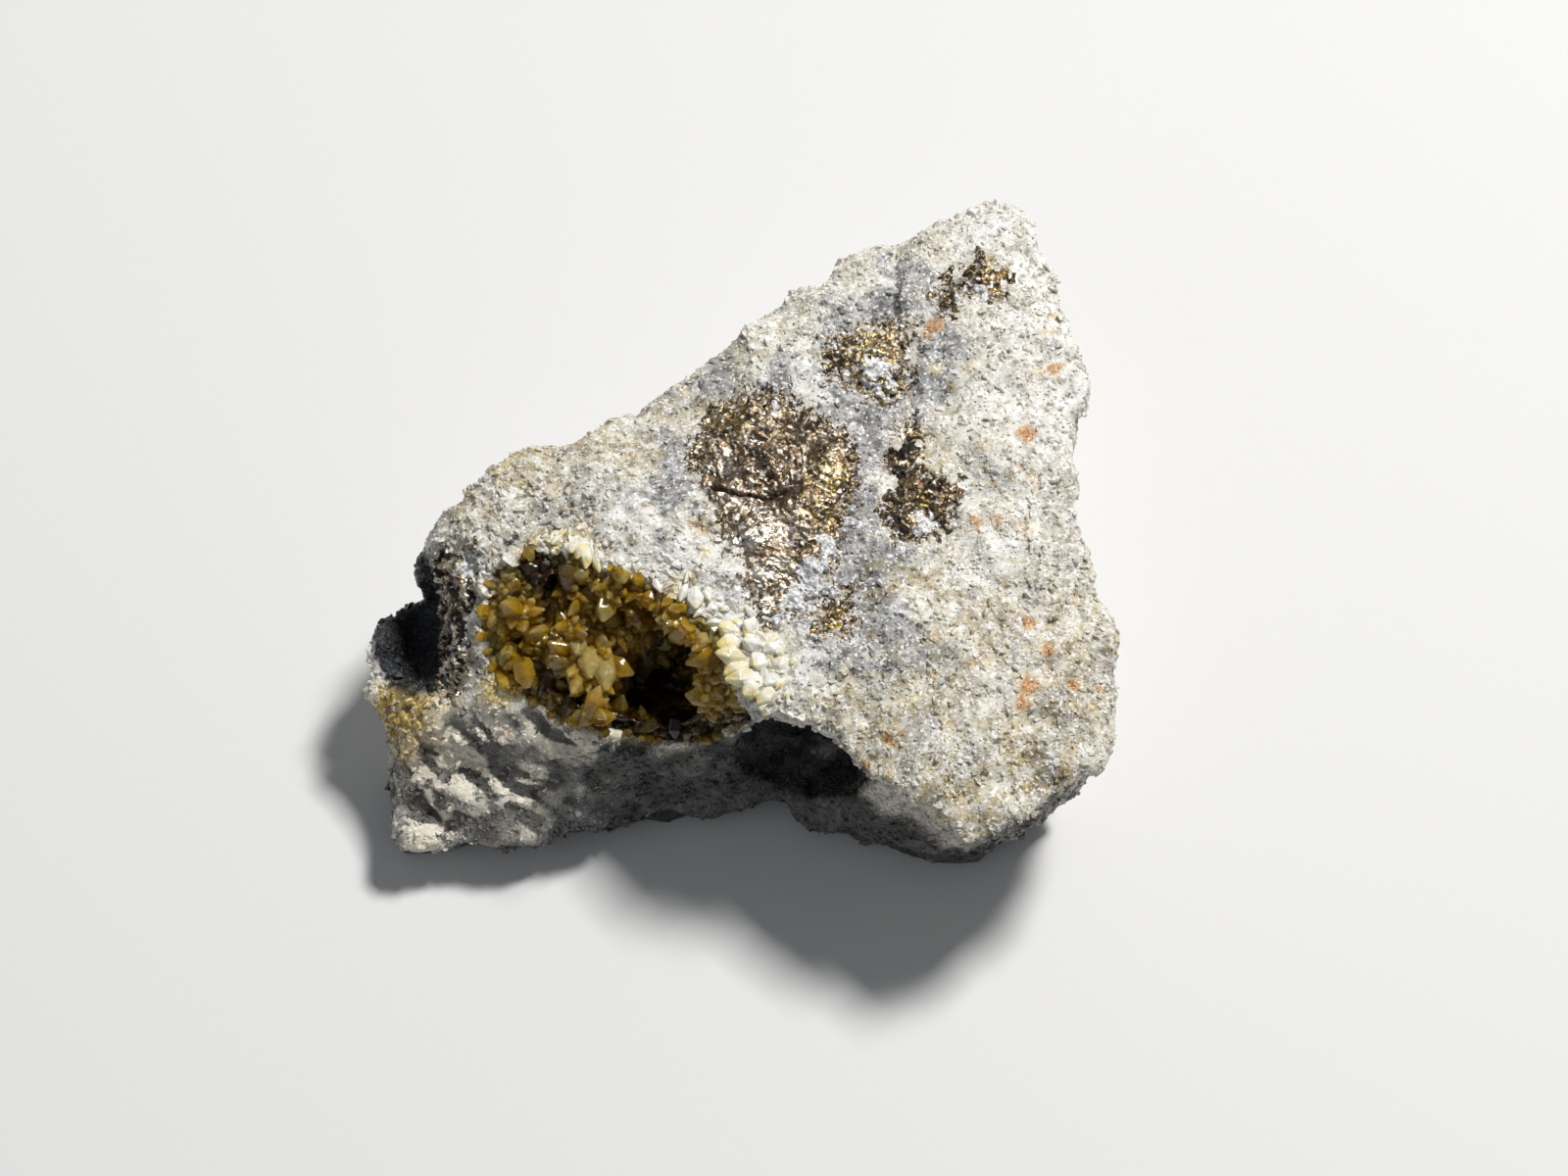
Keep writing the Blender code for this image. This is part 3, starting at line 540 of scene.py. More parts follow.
def spread(points, spots, seed, wobble):
    """From 0 to 1: how strongly a point lies in any of the spots, with ragged borders."""
    ragged = 1.0 + layered(points, ((wobble, 0.9, seed), (0.6 * wobble, 0.35, seed + 1)))
    result = np.zeros(len(points))
    for spot in spots:
        far = np.linalg.norm(points - spot[:3], axis=1) / spot[3] * ragged
        result = np.maximum(result, spot[4] * fade(1.5 - far))
    return result


def line_distance(points, line):
    """Distance from each point to a line of points."""
    result = np.full(len(points), np.inf)
    for a, b in zip(line[:-1], line[1:]):
        along = b - a
        t = np.clip((points - a) @ along / (along @ along), 0.0, 1.0)
        far = np.linalg.norm(points - a - t[:, None] * along, axis=1)
        result = np.minimum(result, far)
    return result


def nearest_line(points, lines):
    """Distance from each point to the nearest of several lines."""
    return np.min([line_distance(points, line) for line in lines], axis=0)


def inside_by(points, outline):
    """How far each point lies inside an outline seen from above; less than 0 outside."""
    corners = np.array(outline) + SHIFT[:2]
    x, y = points[:, 0], points[:, 1]
    inside = np.zeros(len(points), bool)
    for (x0, y0), (x1, y1) in zip(corners, np.roll(corners, -1, axis=0)):
        if y1 != y0:
            crosses = (y0 > y) != (y1 > y)
            inside ^= crosses & (x < (x1 - x0) * (y - y0) / (y1 - y0) + x0)
    far = line_distance(points[:, :2], np.vstack([corners, corners[:1]]))
    return np.where(inside, far, -far)


class Graph:
    """Short calls for building a material's nodes."""

    def __init__(self, name):
        self.material = bpy.data.materials.new(name)
        self.material.use_nodes = True
        self.tree = self.material.node_tree
        self.shader = self.tree.nodes["Principled BSDF"]
        self.place = self.tree.nodes.new("ShaderNodeTexCoord").outputs["Object"]

    def put(self, socket, value):
        if isinstance(value, bpy.types.NodeSocket):
            self.tree.links.new(value, socket)
        else:
            socket.default_value = value

    def set(self, name, value):
        self.put(self.shader.inputs[name], value)

    def attribute(self, name):
        node = self.tree.nodes.new("ShaderNodeAttribute")
        node.attribute_name = name
        return node.outputs["Fac"]

    def noise(self, size, detail=3.0, rough=0.55, stretch=None, seed=0.0):
        node = self.tree.nodes.new("ShaderNodeTexNoise")
        node.inputs["Scale"].default_value = 1000.0 / size
        node.inputs["Detail"].default_value = detail
        node.inputs["Roughness"].default_value = rough
        node.inputs["Distortion"].default_value = 0.3
        self.put(node.inputs["Vector"], self.moved(stretch, seed))
        return node.outputs["Fac"]

    def cells(self, size, seed=0.0, what="Color"):
        node = self.tree.nodes.new("ShaderNodeTexVoronoi")
        node.inputs["Scale"].default_value = 1000.0 / size
        self.put(node.inputs["Vector"], self.moved(None, seed))
        if what == "Distance":
            return node.outputs["Distance"]
        split = self.tree.nodes.new("ShaderNodeSeparateColor")
        self.put(split.inputs[0], node.outputs["Color"])
        return split.outputs[0]

    def moved(self, stretch, seed):
        node = self.tree.nodes.new("ShaderNodeMapping")
        node.vector_type = "POINT"
        node.inputs["Location"].default_value = (seed, 0.7 * seed, -seed)
        if stretch:
            node.vector_type = "TEXTURE"
            node.inputs["Rotation"].default_value = (0.0, 0.0, stretch[0])
            node.inputs["Scale"].default_value = (stretch[1], 1.0, 1.0)
        self.put(node.inputs["Vector"], self.place)
        return node.outputs["Vector"]

    def maths(self, operation, *values):
        node = self.tree.nodes.new("ShaderNodeMath")
        node.operation = operation
        for socket, value in zip(node.inputs, values):
            self.put(socket, value)
        return node.outputs[0]

    def times(self, a, b):
        return self.maths("MULTIPLY", a, b)

    def rest(self, value):
        """What is missing to 1."""
        return self.maths("SUBTRACT", 1.0, value)

    def total(self, start, *terms):
        """The start and the given shares of other values, added up."""
        for share, value in terms:
            start = self.maths("MULTIPLY_ADD", value, share, start)
        return start

    def band(self, value, low, high):
        """0 at low, 1 at high."""
        node = self.tree.nodes.new("ShaderNodeMapRange")
        node.interpolation_type = "SMOOTHSTEP"
        self.put(node.inputs["Value"], value)
        node.inputs["From Min"].default_value = low
        node.inputs["From Max"].default_value = high
        return node.outputs["Result"]

    def ramp(self, value, stops):
        node = self.tree.nodes.new("ShaderNodeValToRGB")
        ramp = node.color_ramp
        while len(ramp.elements) < len(stops):
            ramp.elements.new(0.5)
        for element, (position, colour) in zip(ramp.elements, stops):
            element.position = position
            element.color = (*colour, 1.0)
        self.put(node.inputs["Fac"], value)
        return node.outputs["Color"]

    def mix(self, factor, a, b, blend="MIX"):
        node = self.tree.nodes.new("ShaderNodeMix")
        node.data_type = "RGBA"
        node.blend_type = blend
        self.put(node.inputs[0], factor)
        for socket, value in ((node.inputs[6], a), (node.inputs[7], b)):
            is_colour = isinstance(value, tuple) and len(value) == 3
            self.put(socket, (*value, 1.0) if is_colour else value)
        return node.outputs[2]

    def bump(self, heights, strength, depth):
        """Bump of a height, depth in mm."""
        node = self.tree.nodes.new("ShaderNodeBump")
        node.inputs["Strength"].default_value = strength
        node.inputs["Distance"].default_value = depth * MM
        self.put(node.inputs["Height"], heights)
        self.put(self.shader.inputs["Normal"], node.outputs["Normal"])


def stone_material():
    """Sugary quartz rock: cream to white grains, grey patches, rusty and dark specks."""
    g = Graph("stone_looks")
    zone = {name: g.attribute(name) for name in STONE_ZONES + OTHER_ZONES}
    grit = g.cells(0.13, 1.5)
    fine = g.noise(0.2, 3.0, 0.75, seed=2.0)
    middle = g.noise(0.65, 2.0, 0.6, seed=3.0)
    broad = g.noise(2.0, 3.0, 0.6, seed=3.5)
    value = g.total(-0.91, (0.22, zone["tone"]), (0.18, g.cells(0.42, 1.0)), (0.18, grit),
                    (0.62, fine), (1.03, middle), (0.5, broad))
    cream = g.ramp(value, [
        (0.0, (0.20, 0.165, 0.12)), (0.22, (0.47, 0.43, 0.345)), (0.45, (0.70, 0.67, 0.575)),
        (0.7, (0.86, 0.85, 0.79)), (1.0, (0.98, 0.98, 0.98))])
    grey = g.ramp(value, [
        (0.0, (0.05, 0.045, 0.04)), (0.22, (0.20, 0.19, 0.18)), (0.45, (0.40, 0.39, 0.375)),
        (0.7, (0.64, 0.635, 0.63)), (1.0, (0.96, 0.96, 0.97))])
    patch = g.total(g.noise(3.2, 4.0, 0.6, seed=4.0), (0.35, zone["halo"]),
                    (-0.3, zone["white"]))
    colour = g.mix(g.band(patch, 0.48, 0.74), cream, grey)
    cool = g.times(zone["halo"], g.band(g.noise(1.3, 3.0, seed=5.0), 0.38, 0.66))
    colour = g.mix(cool, colour, (0.84, 0.88, 0.95), "MULTIPLY")
    warm = g.times(zone["warm"], g.band(g.noise(0.9, 3.0, seed=6.0), 0.38, 0.62))
    colour = g.mix(warm, colour, (0.79, 0.68, 0.42), "MULTIPLY")
    white = g.times(zone["white"], g.band(middle, 0.3, 0.6))
    colour = g.mix(g.times(white, 0.7), colour, (0.95, 0.95, 0.96))
    colour = g.mix(zone["amber"], colour, (0.87, 0.64, 0.10), "MULTIPLY")
    blobs = g.times(g.band(g.cells(1.7, 6.5, "Distance"), 0.36, 0.14),
                    g.band(g.noise(2.4, 2.0, seed=6.7), 0.5, 0.62))
    colour = g.mix(g.times(blobs, 0.8), colour, (0.92, 0.76, 0.50), "MULTIPLY")
    glitter = g.band(g.cells(0.16, 1.7), 0.86, 0.9)
    colour = g.mix(g.times(glitter, 0.75), colour, (0.99, 0.99, 0.99))
    rust = g.total(zone["rust"], (2.4, fine), (0.35, grit))
    rusty = g.ramp(fine, [(0.36, (0.20, 0.07, 0.02)), (0.48, (0.50, 0.20, 0.05)),
                          (0.62, (0.83, 0.60, 0.33))])
    colour = g.mix(g.band(rust, 1.92, 2.2), colour, rusty)
    dark = g.total(zone["dark"], (1.9, fine))
    colour = g.mix(g.band(dark, 1.4, 1.75), colour, (0.06, 0.05, 0.045))
    specks = g.times(g.band(g.cells(0.30, 7.0, "Distance"), 0.3, 0.14),
                     g.band(g.noise(1.2, 3.0, seed=8.0), 0.5, 0.62))
    colour = g.mix(g.times(specks, 0.75), colour, (0.10, 0.06, 0.035))
    few = g.total(g.cells(0.2, 8.2), (0.5, g.noise(0.7, 2.0, seed=8.5)), (1.0, zone["fleck"]))
    metal = g.band(few, 1.42, 1.5)
    brass = g.ramp(grit, [(0.3, (0.05, 0.03, 0.018)), (0.6, (0.30, 0.21, 0.10)),
                          (0.9, (0.62, 0.52, 0.34))])
    colour = g.mix(metal, colour, brass)
    # Cream colour and painted light: the ledge, where no painted shade lies, is made paler and
    # lighter.
    pale = g.times(zone["sheared"], g.rest(zone["shade"]))
    colour = g.mix(g.times(pale, 0.7), colour, (0.95, 0.88, 0.73))
    # Painted shade: the walls in shadow and the valleys between the streaks turn nearly black.
    streak = g.times(g.band(zone["streak"], 0.06, -0.2), zone["sheared"])
    painted_shade = g.maths("MAXIMUM", zone["shade"], g.times(streak, 0.9))
    colour = g.mix(painted_shade, colour, (0.02, 0.025, 0.038), "MULTIPLY")
    g.set("Base Color", colour)
    g.set("Metallic", g.times(metal, 0.9))
    g.set("Roughness", g.ramp(g.cells(0.25, 9.0), [(0.0, (0.06,) * 3), (0.35, (0.25,) * 3),
                                                   (1.0, (0.65,) * 3)]))
    g.set("IOR", QUARTZ_IOR)
    g.bump(g.total(fine, (0.8, g.noise(0.1, 2.0, 0.7, seed=10.0))), 1.0, 0.07)
    return g.material


def metal_material(name, golden, darkness):
    """Tarnished telluride: brassy flakes, brown and reddish films, black crevices."""
    g = Graph(name)
    film = g.noise(1.6, 4.0, 0.6, seed=11.0)
    flakes = g.cells(0.36, 12.0)
    grit = g.cells(0.16, 12.5)
    turning = g.band(g.noise(2.6, 2.0, seed=12.7), 0.42, 0.58)
    falling = g.noise(0.26, 3.0, 0.7, stretch=(-0.55, 3.0), seed=13.0)
    rising = g.noise(0.26, 3.0, 0.7, stretch=(0.25, 3.0), seed=13.2)
    drawn = g.total(g.times(falling, g.rest(turning)), (turning, rising))
    fine = g.noise(0.1, 2.0, 0.7, seed=13.5)
    # Painted highlight: the shine spots make the metal brighter.
    value = g.total(g.times(film, 0.8), (0.24, flakes), (0.16, grit),
                    (0.22, g.attribute("shine")))
    colour = g.ramp(value, [
        (0.36, (0.085, 0.056, 0.032)), (0.53, (0.22, 0.16, 0.098)), (0.66, golden),
        (0.79, (0.62, 0.54, 0.42)), (0.95, (0.95, 0.91, 0.84))])
    gold = g.times(g.attribute("gold"), g.band(flakes, 0.15, 0.5))
    colour = g.mix(gold, colour, g.ramp(grit, [
        (0.1, (0.30, 0.19, 0.05)), (0.5, (0.66, 0.47, 0.14)), (0.9, (0.98, 0.84, 0.45))]))
    red = g.band(g.noise(0.8, 3.0, seed=14.0), 0.56, 0.7)
    colour = g.mix(g.times(red, 0.4), colour, (0.42, 0.17, 0.11))
    low = g.total(g.attribute("height"), (1.1, drawn), (0.3, fine), (0.3, film),
                  (-0.34, g.attribute("dark_patch")))
    depth = g.band(low, 1.24 + darkness, 1.08 + darkness)
    lines = g.band(g.maths("ABSOLUTE", g.maths("SUBTRACT", drawn, 0.47)), 0.03, 0.012)
    depth = g.maths("MAXIMUM", depth, g.times(lines, 0.9))
    # Painted shade: the open fissure and the crevices turn black.
    depth = g.maths("MAXIMUM", depth, g.attribute("gap"))
    colour = g.mix(depth, colour, (0.018, 0.011, 0.007))
    glint = g.times(g.band(grit, 0.90, 0.93), g.rest(depth))
    colour = g.mix(glint, colour, (0.98, 0.95, 0.92))
    stony = g.band(g.total(g.noise(0.5, 3.0, 0.6, seed=15.0), (0.5, g.attribute("stony"))),
                   0.66, 0.72)
    quartz = g.ramp(g.total(fine, (0.4, grit)), [
        (0.35, (0.16, 0.155, 0.15)), (0.6, (0.47, 0.47, 0.48)), (0.85, (0.95, 0.95, 0.96))])
    g.set("Base Color", g.mix(stony, colour, quartz))
    g.set("Metallic", g.times(g.total(1.0, (-0.7, depth)), g.rest(stony)))
    g.set("Roughness", g.total(0.16, (0.22, flakes), (0.4, depth), (0.2, glint)))
    g.bump(g.total(drawn, (1.0, fine), (0.4, flakes)), 0.8, 0.06)
    return g.material


def quartz_material(name, ends, transmission, absorption, tip, sugary):
    """Glassy quartz whose colour runs between two ends by each crystal's tone."""
    g = Graph(name)
    facets = g.cells(0.3, 24.0)
    value = g.total(-0.4 * tip - 0.35 * sugary, (0.5, g.noise(0.5, 4.0, 0.6, seed=21.0)),
                    (0.75, g.attribute("tone")), (tip, g.attribute("tip")),
                    (0.7 * sugary, facets))
    colour = g.ramp(value, list(zip((0.15, 0.5, 0.9), ends)))
    # Painted shade: the recesses of the hollow darken nearly to black.
    g.set("Base Color", g.mix(g.attribute("painted_recess_shade"), colour, (0.06, 0.035, 0.02), "MULTIPLY"))
    g.set("Roughness", g.total(0.02, (0.16, g.noise(0.3, 3.0, seed=22.0))))
    g.set("IOR", QUARTZ_IOR)
    g.set("Transmission Weight", transmission)
    broad = g.total(g.noise(0.4, 2.0, seed=25.0), (0.35, facets))
    g.bump(g.total(g.noise(0.14, 3.0, seed=23.0), (4.0 * sugary, broad)), 0.4 + 0.5 * sugary,
           0.04)
    if absorption:
        volume = g.tree.nodes.new("ShaderNodeVolumeAbsorption")
        volume.inputs["Color"].default_value = (*absorption[0], 1.0)
        volume.inputs["Density"].default_value = absorption[1]
        output = g.tree.nodes["Material Output"]
        g.tree.links.new(volume.outputs["Volume"], output.inputs["Volume"])
    return g.material


def floor_material():
    """Plain pale paper."""
    g = Graph("floor_looks")
    shade = g.noise(400.0, 2.0, seed=31.0)
    g.set("Base Color", g.ramp(shade, [(0.0, (0.74, 0.745, 0.75)), (1.0, (0.78, 0.78, 0.78))]))
    g.set("Roughness", 0.85)
    return g.material


def hollow_axes():
    """The hollow's own directions: along it, across its mouth and inward."""
    along = unit(HOLLOW_ALONG)
    inward = unit(HOLLOW_INWARD - HOLLOW_INWARD @ along * along)
    return np.array([along, np.cross(inward, along), inward])


def to_middle(points):
    """Directions from points to the middle of the hollow."""
    return unit(HOLLOW_CENTRE + SHIFT - points)


def hollow_share(points):
    """Where points lie in the crystal hollow: less than 1 inside it."""
    local = (points - HOLLOW_CENTRE - SHIFT) @ hollow_axes().T / HOLLOW_HALF
    return np.sum(np.abs(local) ** 2.5, axis=1) ** 0.4


def metal_inside(points):
    """How far inside the nearest metal outline each point is; below 0 outside them all."""
    return np.max([inside_by(points, outline) for outline in OUTLINES.values()], axis=0)


class Zones:
    """Shares of each zone of colour at any points of the specimen."""

    def __init__(self, tree):
        self.tree = tree
        self.spots = {name: spot_places(tree, spots) for name, spots in SPOTS.items()}
        self.cracks, self.crevices = (
            [np.array([on_surface(tree, pixel) for pixel in line]) for line in lines]
            for lines in (CRACKS, CREVICES))

    def share(self, name, points):
        return spread(points, self.spots[name], *BORDERS[name])

    def shade(self, points):
        """Painted shade: the hollows of the flanks and the steep front, darkened as if in shadow.
        """
        seen = pixels_of(points)
        edge = np.array(TOP_EDGE)
        below = seen[:, 1] - np.interp(seen[:, 0], edge[:, 0], edge[:, 1])
        below += layered(points, ((9.0, 1.8, 54), (6.0, 0.7, 55)))
        front = fade(below / 16.0) * (1.0 - self.share("ledge", points))
        # Painted light within the painted shade: a little lighter along the ridges of the streaks.
        front *= 0.9 + 0.07 * noise(points, 2.2, 56) - 0.1 * fade(1.6 * streaks(points) - 0.3)
        hollow = np.zeros(len(points))
        for centre, half, reach in FLANK_HOLLOWS:
            far = np.linalg.norm((points - np.array(centre) - SHIFT) / np.array(half), axis=1)
            far += layered(points, ((0.09, 1.5, 57), (0.05, 0.6, 58)))
            hollow = np.maximum(hollow, 0.98 * fade((reach - far) / 0.22))
        return np.maximum(front, hollow)

    def store(self, mesh, points, tone, shade):
        """Stores what the stone's material reads."""
        values = {name: self.share(name, points) for name in STONE_ZONES}
        crack = fade(1.5 - nearest_line(points, self.cracks) / 0.32)
        values["dark"] = np.maximum(values["dark"], crack)
        values["tone"] = tone
        values["fleck"] = fade(1.0 + metal_inside(points) / 1.2) * (0.3 + 0.7 * values["halo"])
        values["shade"] = shade
        values["streak"] = streaks(points)
        values["sheared"] = np.maximum(self.share("ledge", points), 0.6 * shade)
        give(mesh, values)


def streaks(points):
    """Ridges of the sheared front: narrow across, long down to the right."""
    drawn = drawn_out(warped(points, 0.9, 4.0, 61), STREAK_WAY, STREAK_DRAW)
    return layered(drawn, ((1.0, 0.75, 64), (0.6, 0.38, 65)))


def pits(points):
    """Depth of small round pits in a share of the cells of a lattice."""
    cells = np.floor(points / PIT_SIZE).astype(np.int64)
    result = np.zeros(len(points))
    for step in np.ndindex(3, 3, 3):
        near = cells + np.array(step) - 1
        jitter = np.stack([lattice(near, PIT_SEED + k) for k in range(3)], axis=1)
        middle = (near + 0.2 + 0.6 * jitter) * PIT_SIZE
        chosen = lattice(near, PIT_SEED + 3) < PIT_SHARE
        radius = PIT_SIZE * (0.16 + 0.2 * lattice(near, PIT_SEED + 4))
        far = np.linalg.norm(points - middle, axis=1) / radius
        result = np.maximum(result, np.where(chosen, fade(1.3 - far), 0.0))
    return result * PIT_DEPTH


def fissure_distance(points):
    """Distance from the open fissure of the main mass, seen from above."""
    return line_distance(points[:, :2], np.array(FISSURE) + SHIFT[:2])


def open_fissure(stone):
    """Sinks the stone below the fissure, so that the metal's own gap stays open."""
    points = mesh_points(stone)
    near = fade((0.6 - fissure_distance(points)) / 0.3) * (points[:, 2] > FISSURE_FLOOR)
    points[:, 2] -= FISSURE_SINK * near
    set_points(stone, points)


def stone_relief(points, normals, zones):
    """How far each point of the stone's surface moves out."""
    relief = layered(points, STONE_WAVES)
    metal = fade(metal_inside(points) + 0.7)
    relief *= 1.0 - 0.6 * metal
    wall = fade((0.45 - np.abs(normals[:, 2])) / 0.3)
    relief += wall * (0.20 * noise(points, 2.4, 7) + 0.22 * np.abs(noise(points, 1.2, 8)) - 0.08)
    front = fade(-1.6 * normals[:, 1] - 0.35)
    relief += STREAK_RELIEF * front * streaks(points)
    relief -= pits(points) * (1.0 - metal)
    relief -= CRACK_DEPTH * np.exp(-((nearest_line(points, zones.cracks) / CRACK_WIDTH) ** 2))
    relief -= METAL_BED * metal
    return relief * fade((points[:, 2] - 0.15) / FOOT_CLEAR)


def stone_mesh():
    """The stone's surface, without its grains."""
    fills = [welded(name, FILL_GROW, FILL_DROP) for name in OUTLINES]
    mesh = remeshed("stone", [welded("matrix")] + fills, STONE_VOXEL)
    zones = Zones(tree_of(mesh))
    points = mesh_points(mesh)
    normals = mesh_normals(mesh)
    shade = zones.shade(points)
    points += normals * stone_relief(points, normals, zones)[:, None]
    points[:, 2] = np.maximum(points[:, 2], 0.0)
    set_points(mesh, points)
    zones.store(mesh, points, 0.3 + layered(points, TONE_WAVES), shade)
    smooth_shaded(mesh)
    return mesh, zones


def grain_shapes(rng):
    """Angular chips, one across, with a flat top at z = 0: places and triangles of each."""
    shapes = []
    for _ in range(GRAIN_KINDS):
        sides = int(rng.integers(4, 7))
        angles = 2 * math.pi * (np.arange(sides) + rng.uniform(-0.28, 0.28, sides)) / sides
        reach = rng.uniform(0.75, 1.1, sides)
        top = rng.uniform(0.45, 0.8)
        ring = np.column_stack([np.cos(angles) * reach, np.sin(angles) * reach,
                                np.full(sides, GRAIN_SHOULDER)])
        cap = ring * [top, top, 0.0] + np.column_stack(
            [rng.uniform(-0.1, 0.1, (sides, 2)), 0.12 * rng.uniform(-1, 1, sides)])
        places = np.vstack([cap, ring, [[0.0, 0.0, -1.0]]])
        corners = []
        for k in range(sides):
            j = (k + 1) % sides
            corners += [(k, sides + k, sides + j), (k, sides + j, j),
                        (sides + k, 2 * sides, sides + j)]
        corners += [(0, k, k + 1) for k in range(1, sides - 1)]
        shapes.append((places, np.array(corners)))
    return shapes


def scattered(shapes, kinds, places, turns, scales):
    """Copies of the shapes: points, triangles, each point's copy and height in its shape."""
    points, corners, owners, heights = [], [], [], []
    start = 0
    for kind, (shape, triangles) in enumerate(shapes):
        mine = np.nonzero(kinds == kind)[0]
        if not len(mine):
            continue
        scaled = shape[None] * scales[mine][:, None, :]
        turned = np.einsum("nij,nkj->nki", turns[mine], scaled) + places[mine][:, None, :]
        points.append(turned.reshape(-1, 3))
        offsets = start + np.arange(len(mine)) * len(shape)
        corners.append((triangles[None] + offsets[:, None, None]).reshape(-1, 3))
        owners.append(np.repeat(mine, len(shape)))
        heights.append(np.tile(shape[:, 2], len(mine)))
        start += len(mine) * len(shape)
    return [np.concatenate(parts) for parts in (points, corners, owners, heights)]


def mesh_of(name, points, corners):
    """A mesh of triangles, points in mm."""
    mesh = bpy.data.meshes.new(name)
    mesh.from_pydata((points * MM).tolist(), [], corners.tolist())
    mesh.update()
    return mesh


def grain_places(mesh, rng):
    """Places, outward directions and sizes of the grains on the stone."""
    centres, normals = read(mesh.polygons, "center") / MM, read(mesh.polygons, "normal")
    weight = 0.35 + 0.65 * fade(0.5 + 1.5 * normals[:, 2])
    weight *= fade((centres[:, 2] - 0.4) / 0.6)
    weight *= (metal_inside(centres) <= 0.15) & (hollow_share(centres) >= 1.0)
    chosen = rng.random(len(centres)) < weight * GRAIN_DENSITY
    centres, normals = centres[chosen], normals[chosen]
    sizes = GRAIN_SIZE[0] + (GRAIN_SIZE[1] - GRAIN_SIZE[0]) * rng.random(len(centres)) ** 3
    sizes *= 1.0 + 0.25 * noise(centres, 3.0, 81)
    sizes *= 1.0 + 0.8 * fade((1.5 - hollow_share(centres)) / 0.35) * (centres[:, 2] > 12.0)
    first = np.array([f.vertices[0] for f in mesh.polygons])[chosen]
    shade = np.empty(len(mesh.vertices), np.float32)
    mesh.attributes["shade"].data.foreach_get("value", shade)
    return centres, normals, sizes, shade[first]


def add_grains(stone, zones, material):
    """Covers the stone with faceted grains, sunk into it by most of their size."""
    rng = np.random.default_rng(GRAIN_SEED)
    shapes = grain_shapes(rng)
    centres, normals, sizes, shade = grain_places(stone, rng)
    rise = rng.uniform(-0.03, 0.07, len(sizes)) + 0.05 * (sizes - GRAIN_SIZE[0])
    places = centres + normals * rise[:, None]
    keep = places[:, 2] > sizes * 1.15
    places, sizes, normals, shade = places[keep], sizes[keep], normals[keep], shade[keep]
    kinds = rng.integers(0, GRAIN_KINDS, len(sizes))
    turns = aimed_turns(rng, normals + GRAIN_TILT * rng.normal(size=normals.shape))
    scales = sizes[:, None] * rng.uniform(0.8, 1.2, (len(sizes), 3))
    tone = 0.55 + 0.25 * noise(places, 1.6, 83) + 0.6 * (rng.random(len(sizes)) - 0.5)
    order = np.array_split(np.arange(len(sizes)), GRAIN_PIECES)
    for number, mine in enumerate(order):
        points, corners, owners, _ = scattered(
            shapes, kinds[mine], places[mine], turns[mine], scales[mine])
        name = f"stone_grains_{number + 1}"
        mesh = mesh_of(name, points, corners)
        zones.store(mesh, places[mine][owners], tone[mine][owners], shade[mine][owners])
        add_piece(name, mesh, material, "matrix")


def patch(stone, outline, reach):
    """The part of the stone's surface within an outline grown by reach, as a bmesh."""
    bm = bmesh.new()
    bm.from_mesh(stone)
    centres = np.array([f.calc_center_median() for f in bm.faces]) / MM
    up = np.array([f.normal.z for f in bm.faces])
    chosen = (inside_by(centres, outline) > -reach) & (up > -0.1)
    chosen &= centres[:, 2] > METAL_LOWEST
    bm.faces.ensure_lookup_table()
    drop = [bm.faces[int(k)] for k in np.nonzero(~chosen)[0]]
    bmesh.ops.delete(bm, geom=drop, context="FACES")
    return bm


def flakes(points, granular):
    """Height of the metal's relief, from about -1 to 1."""
    bent = warped(points, 0.5, 2.2, 91)
    result = np.zeros(len(points))
    for number, way in enumerate(FLAKE_WAYS):
        drawn = drawn_out(bent, way, FLAKE_DRAW)
        here = fade(0.5 + 1.6 * noise(points, 2.6, 94 + number))
        ridges = 1.0 - 2.0 * np.abs(noise(drawn, 0.42, 97 + number))
        ridges += 0.5 * (1.0 - 2.0 * np.abs(noise(drawn, 0.2, 101 + number)))
        result += ridges * here
    lumps = layered(points, ((1.0, 0.38, 105), (0.8, 0.2, 106)))
    return (1.0 - granular) * 0.45 * result + (0.35 + granular) * 0.7 * lumps


def applied(piece):
    """Takes over the mesh that the piece's modifiers give."""
    evaluated = piece.evaluated_get(bpy.context.evaluated_depsgraph_get())
    mesh = bpy.data.meshes.new_from_object(evaluated)
    piece.modifiers.clear()
    piece.data = mesh


def close_below(piece):
    """Gives a sheet a body, with few triangles on its hidden underside."""
    hidden = piece.vertex_groups.new(name="underside")
    body = piece.modifiers.new("body", "SOLIDIFY")
    body.thickness = METAL_BODY * MM
    body.offset = -1.0
    body.shell_vertex_group = hidden.name
    fewer = piece.modifiers.new("fewer", "DECIMATE")
    fewer.ratio = METAL_KEPT
    fewer.vertex_group = hidden.name
    applied(piece)


def metal_sheet(stone, name, material):
    """The part of the stone's surface round one metal outline, as a finer piece."""
    bm = patch(stone, OUTLINES[name], METAL_REACH)
    mesh = bpy.data.meshes.new(name + "_looks")
    bm.to_mesh(mesh)
    bm.free()
    for zone in STONE_ZONES + OTHER_ZONES:
        mesh.attributes.remove(mesh.attributes[zone])
    piece = add_piece(name + "_looks", mesh, material, "calaverite", name)
    finer = piece.modifiers.new("finer", "SUBSURF")
    finer.levels = finer.render_levels = 1 if name == "calaverite_edge" else 2
    applied(piece)
    return piece


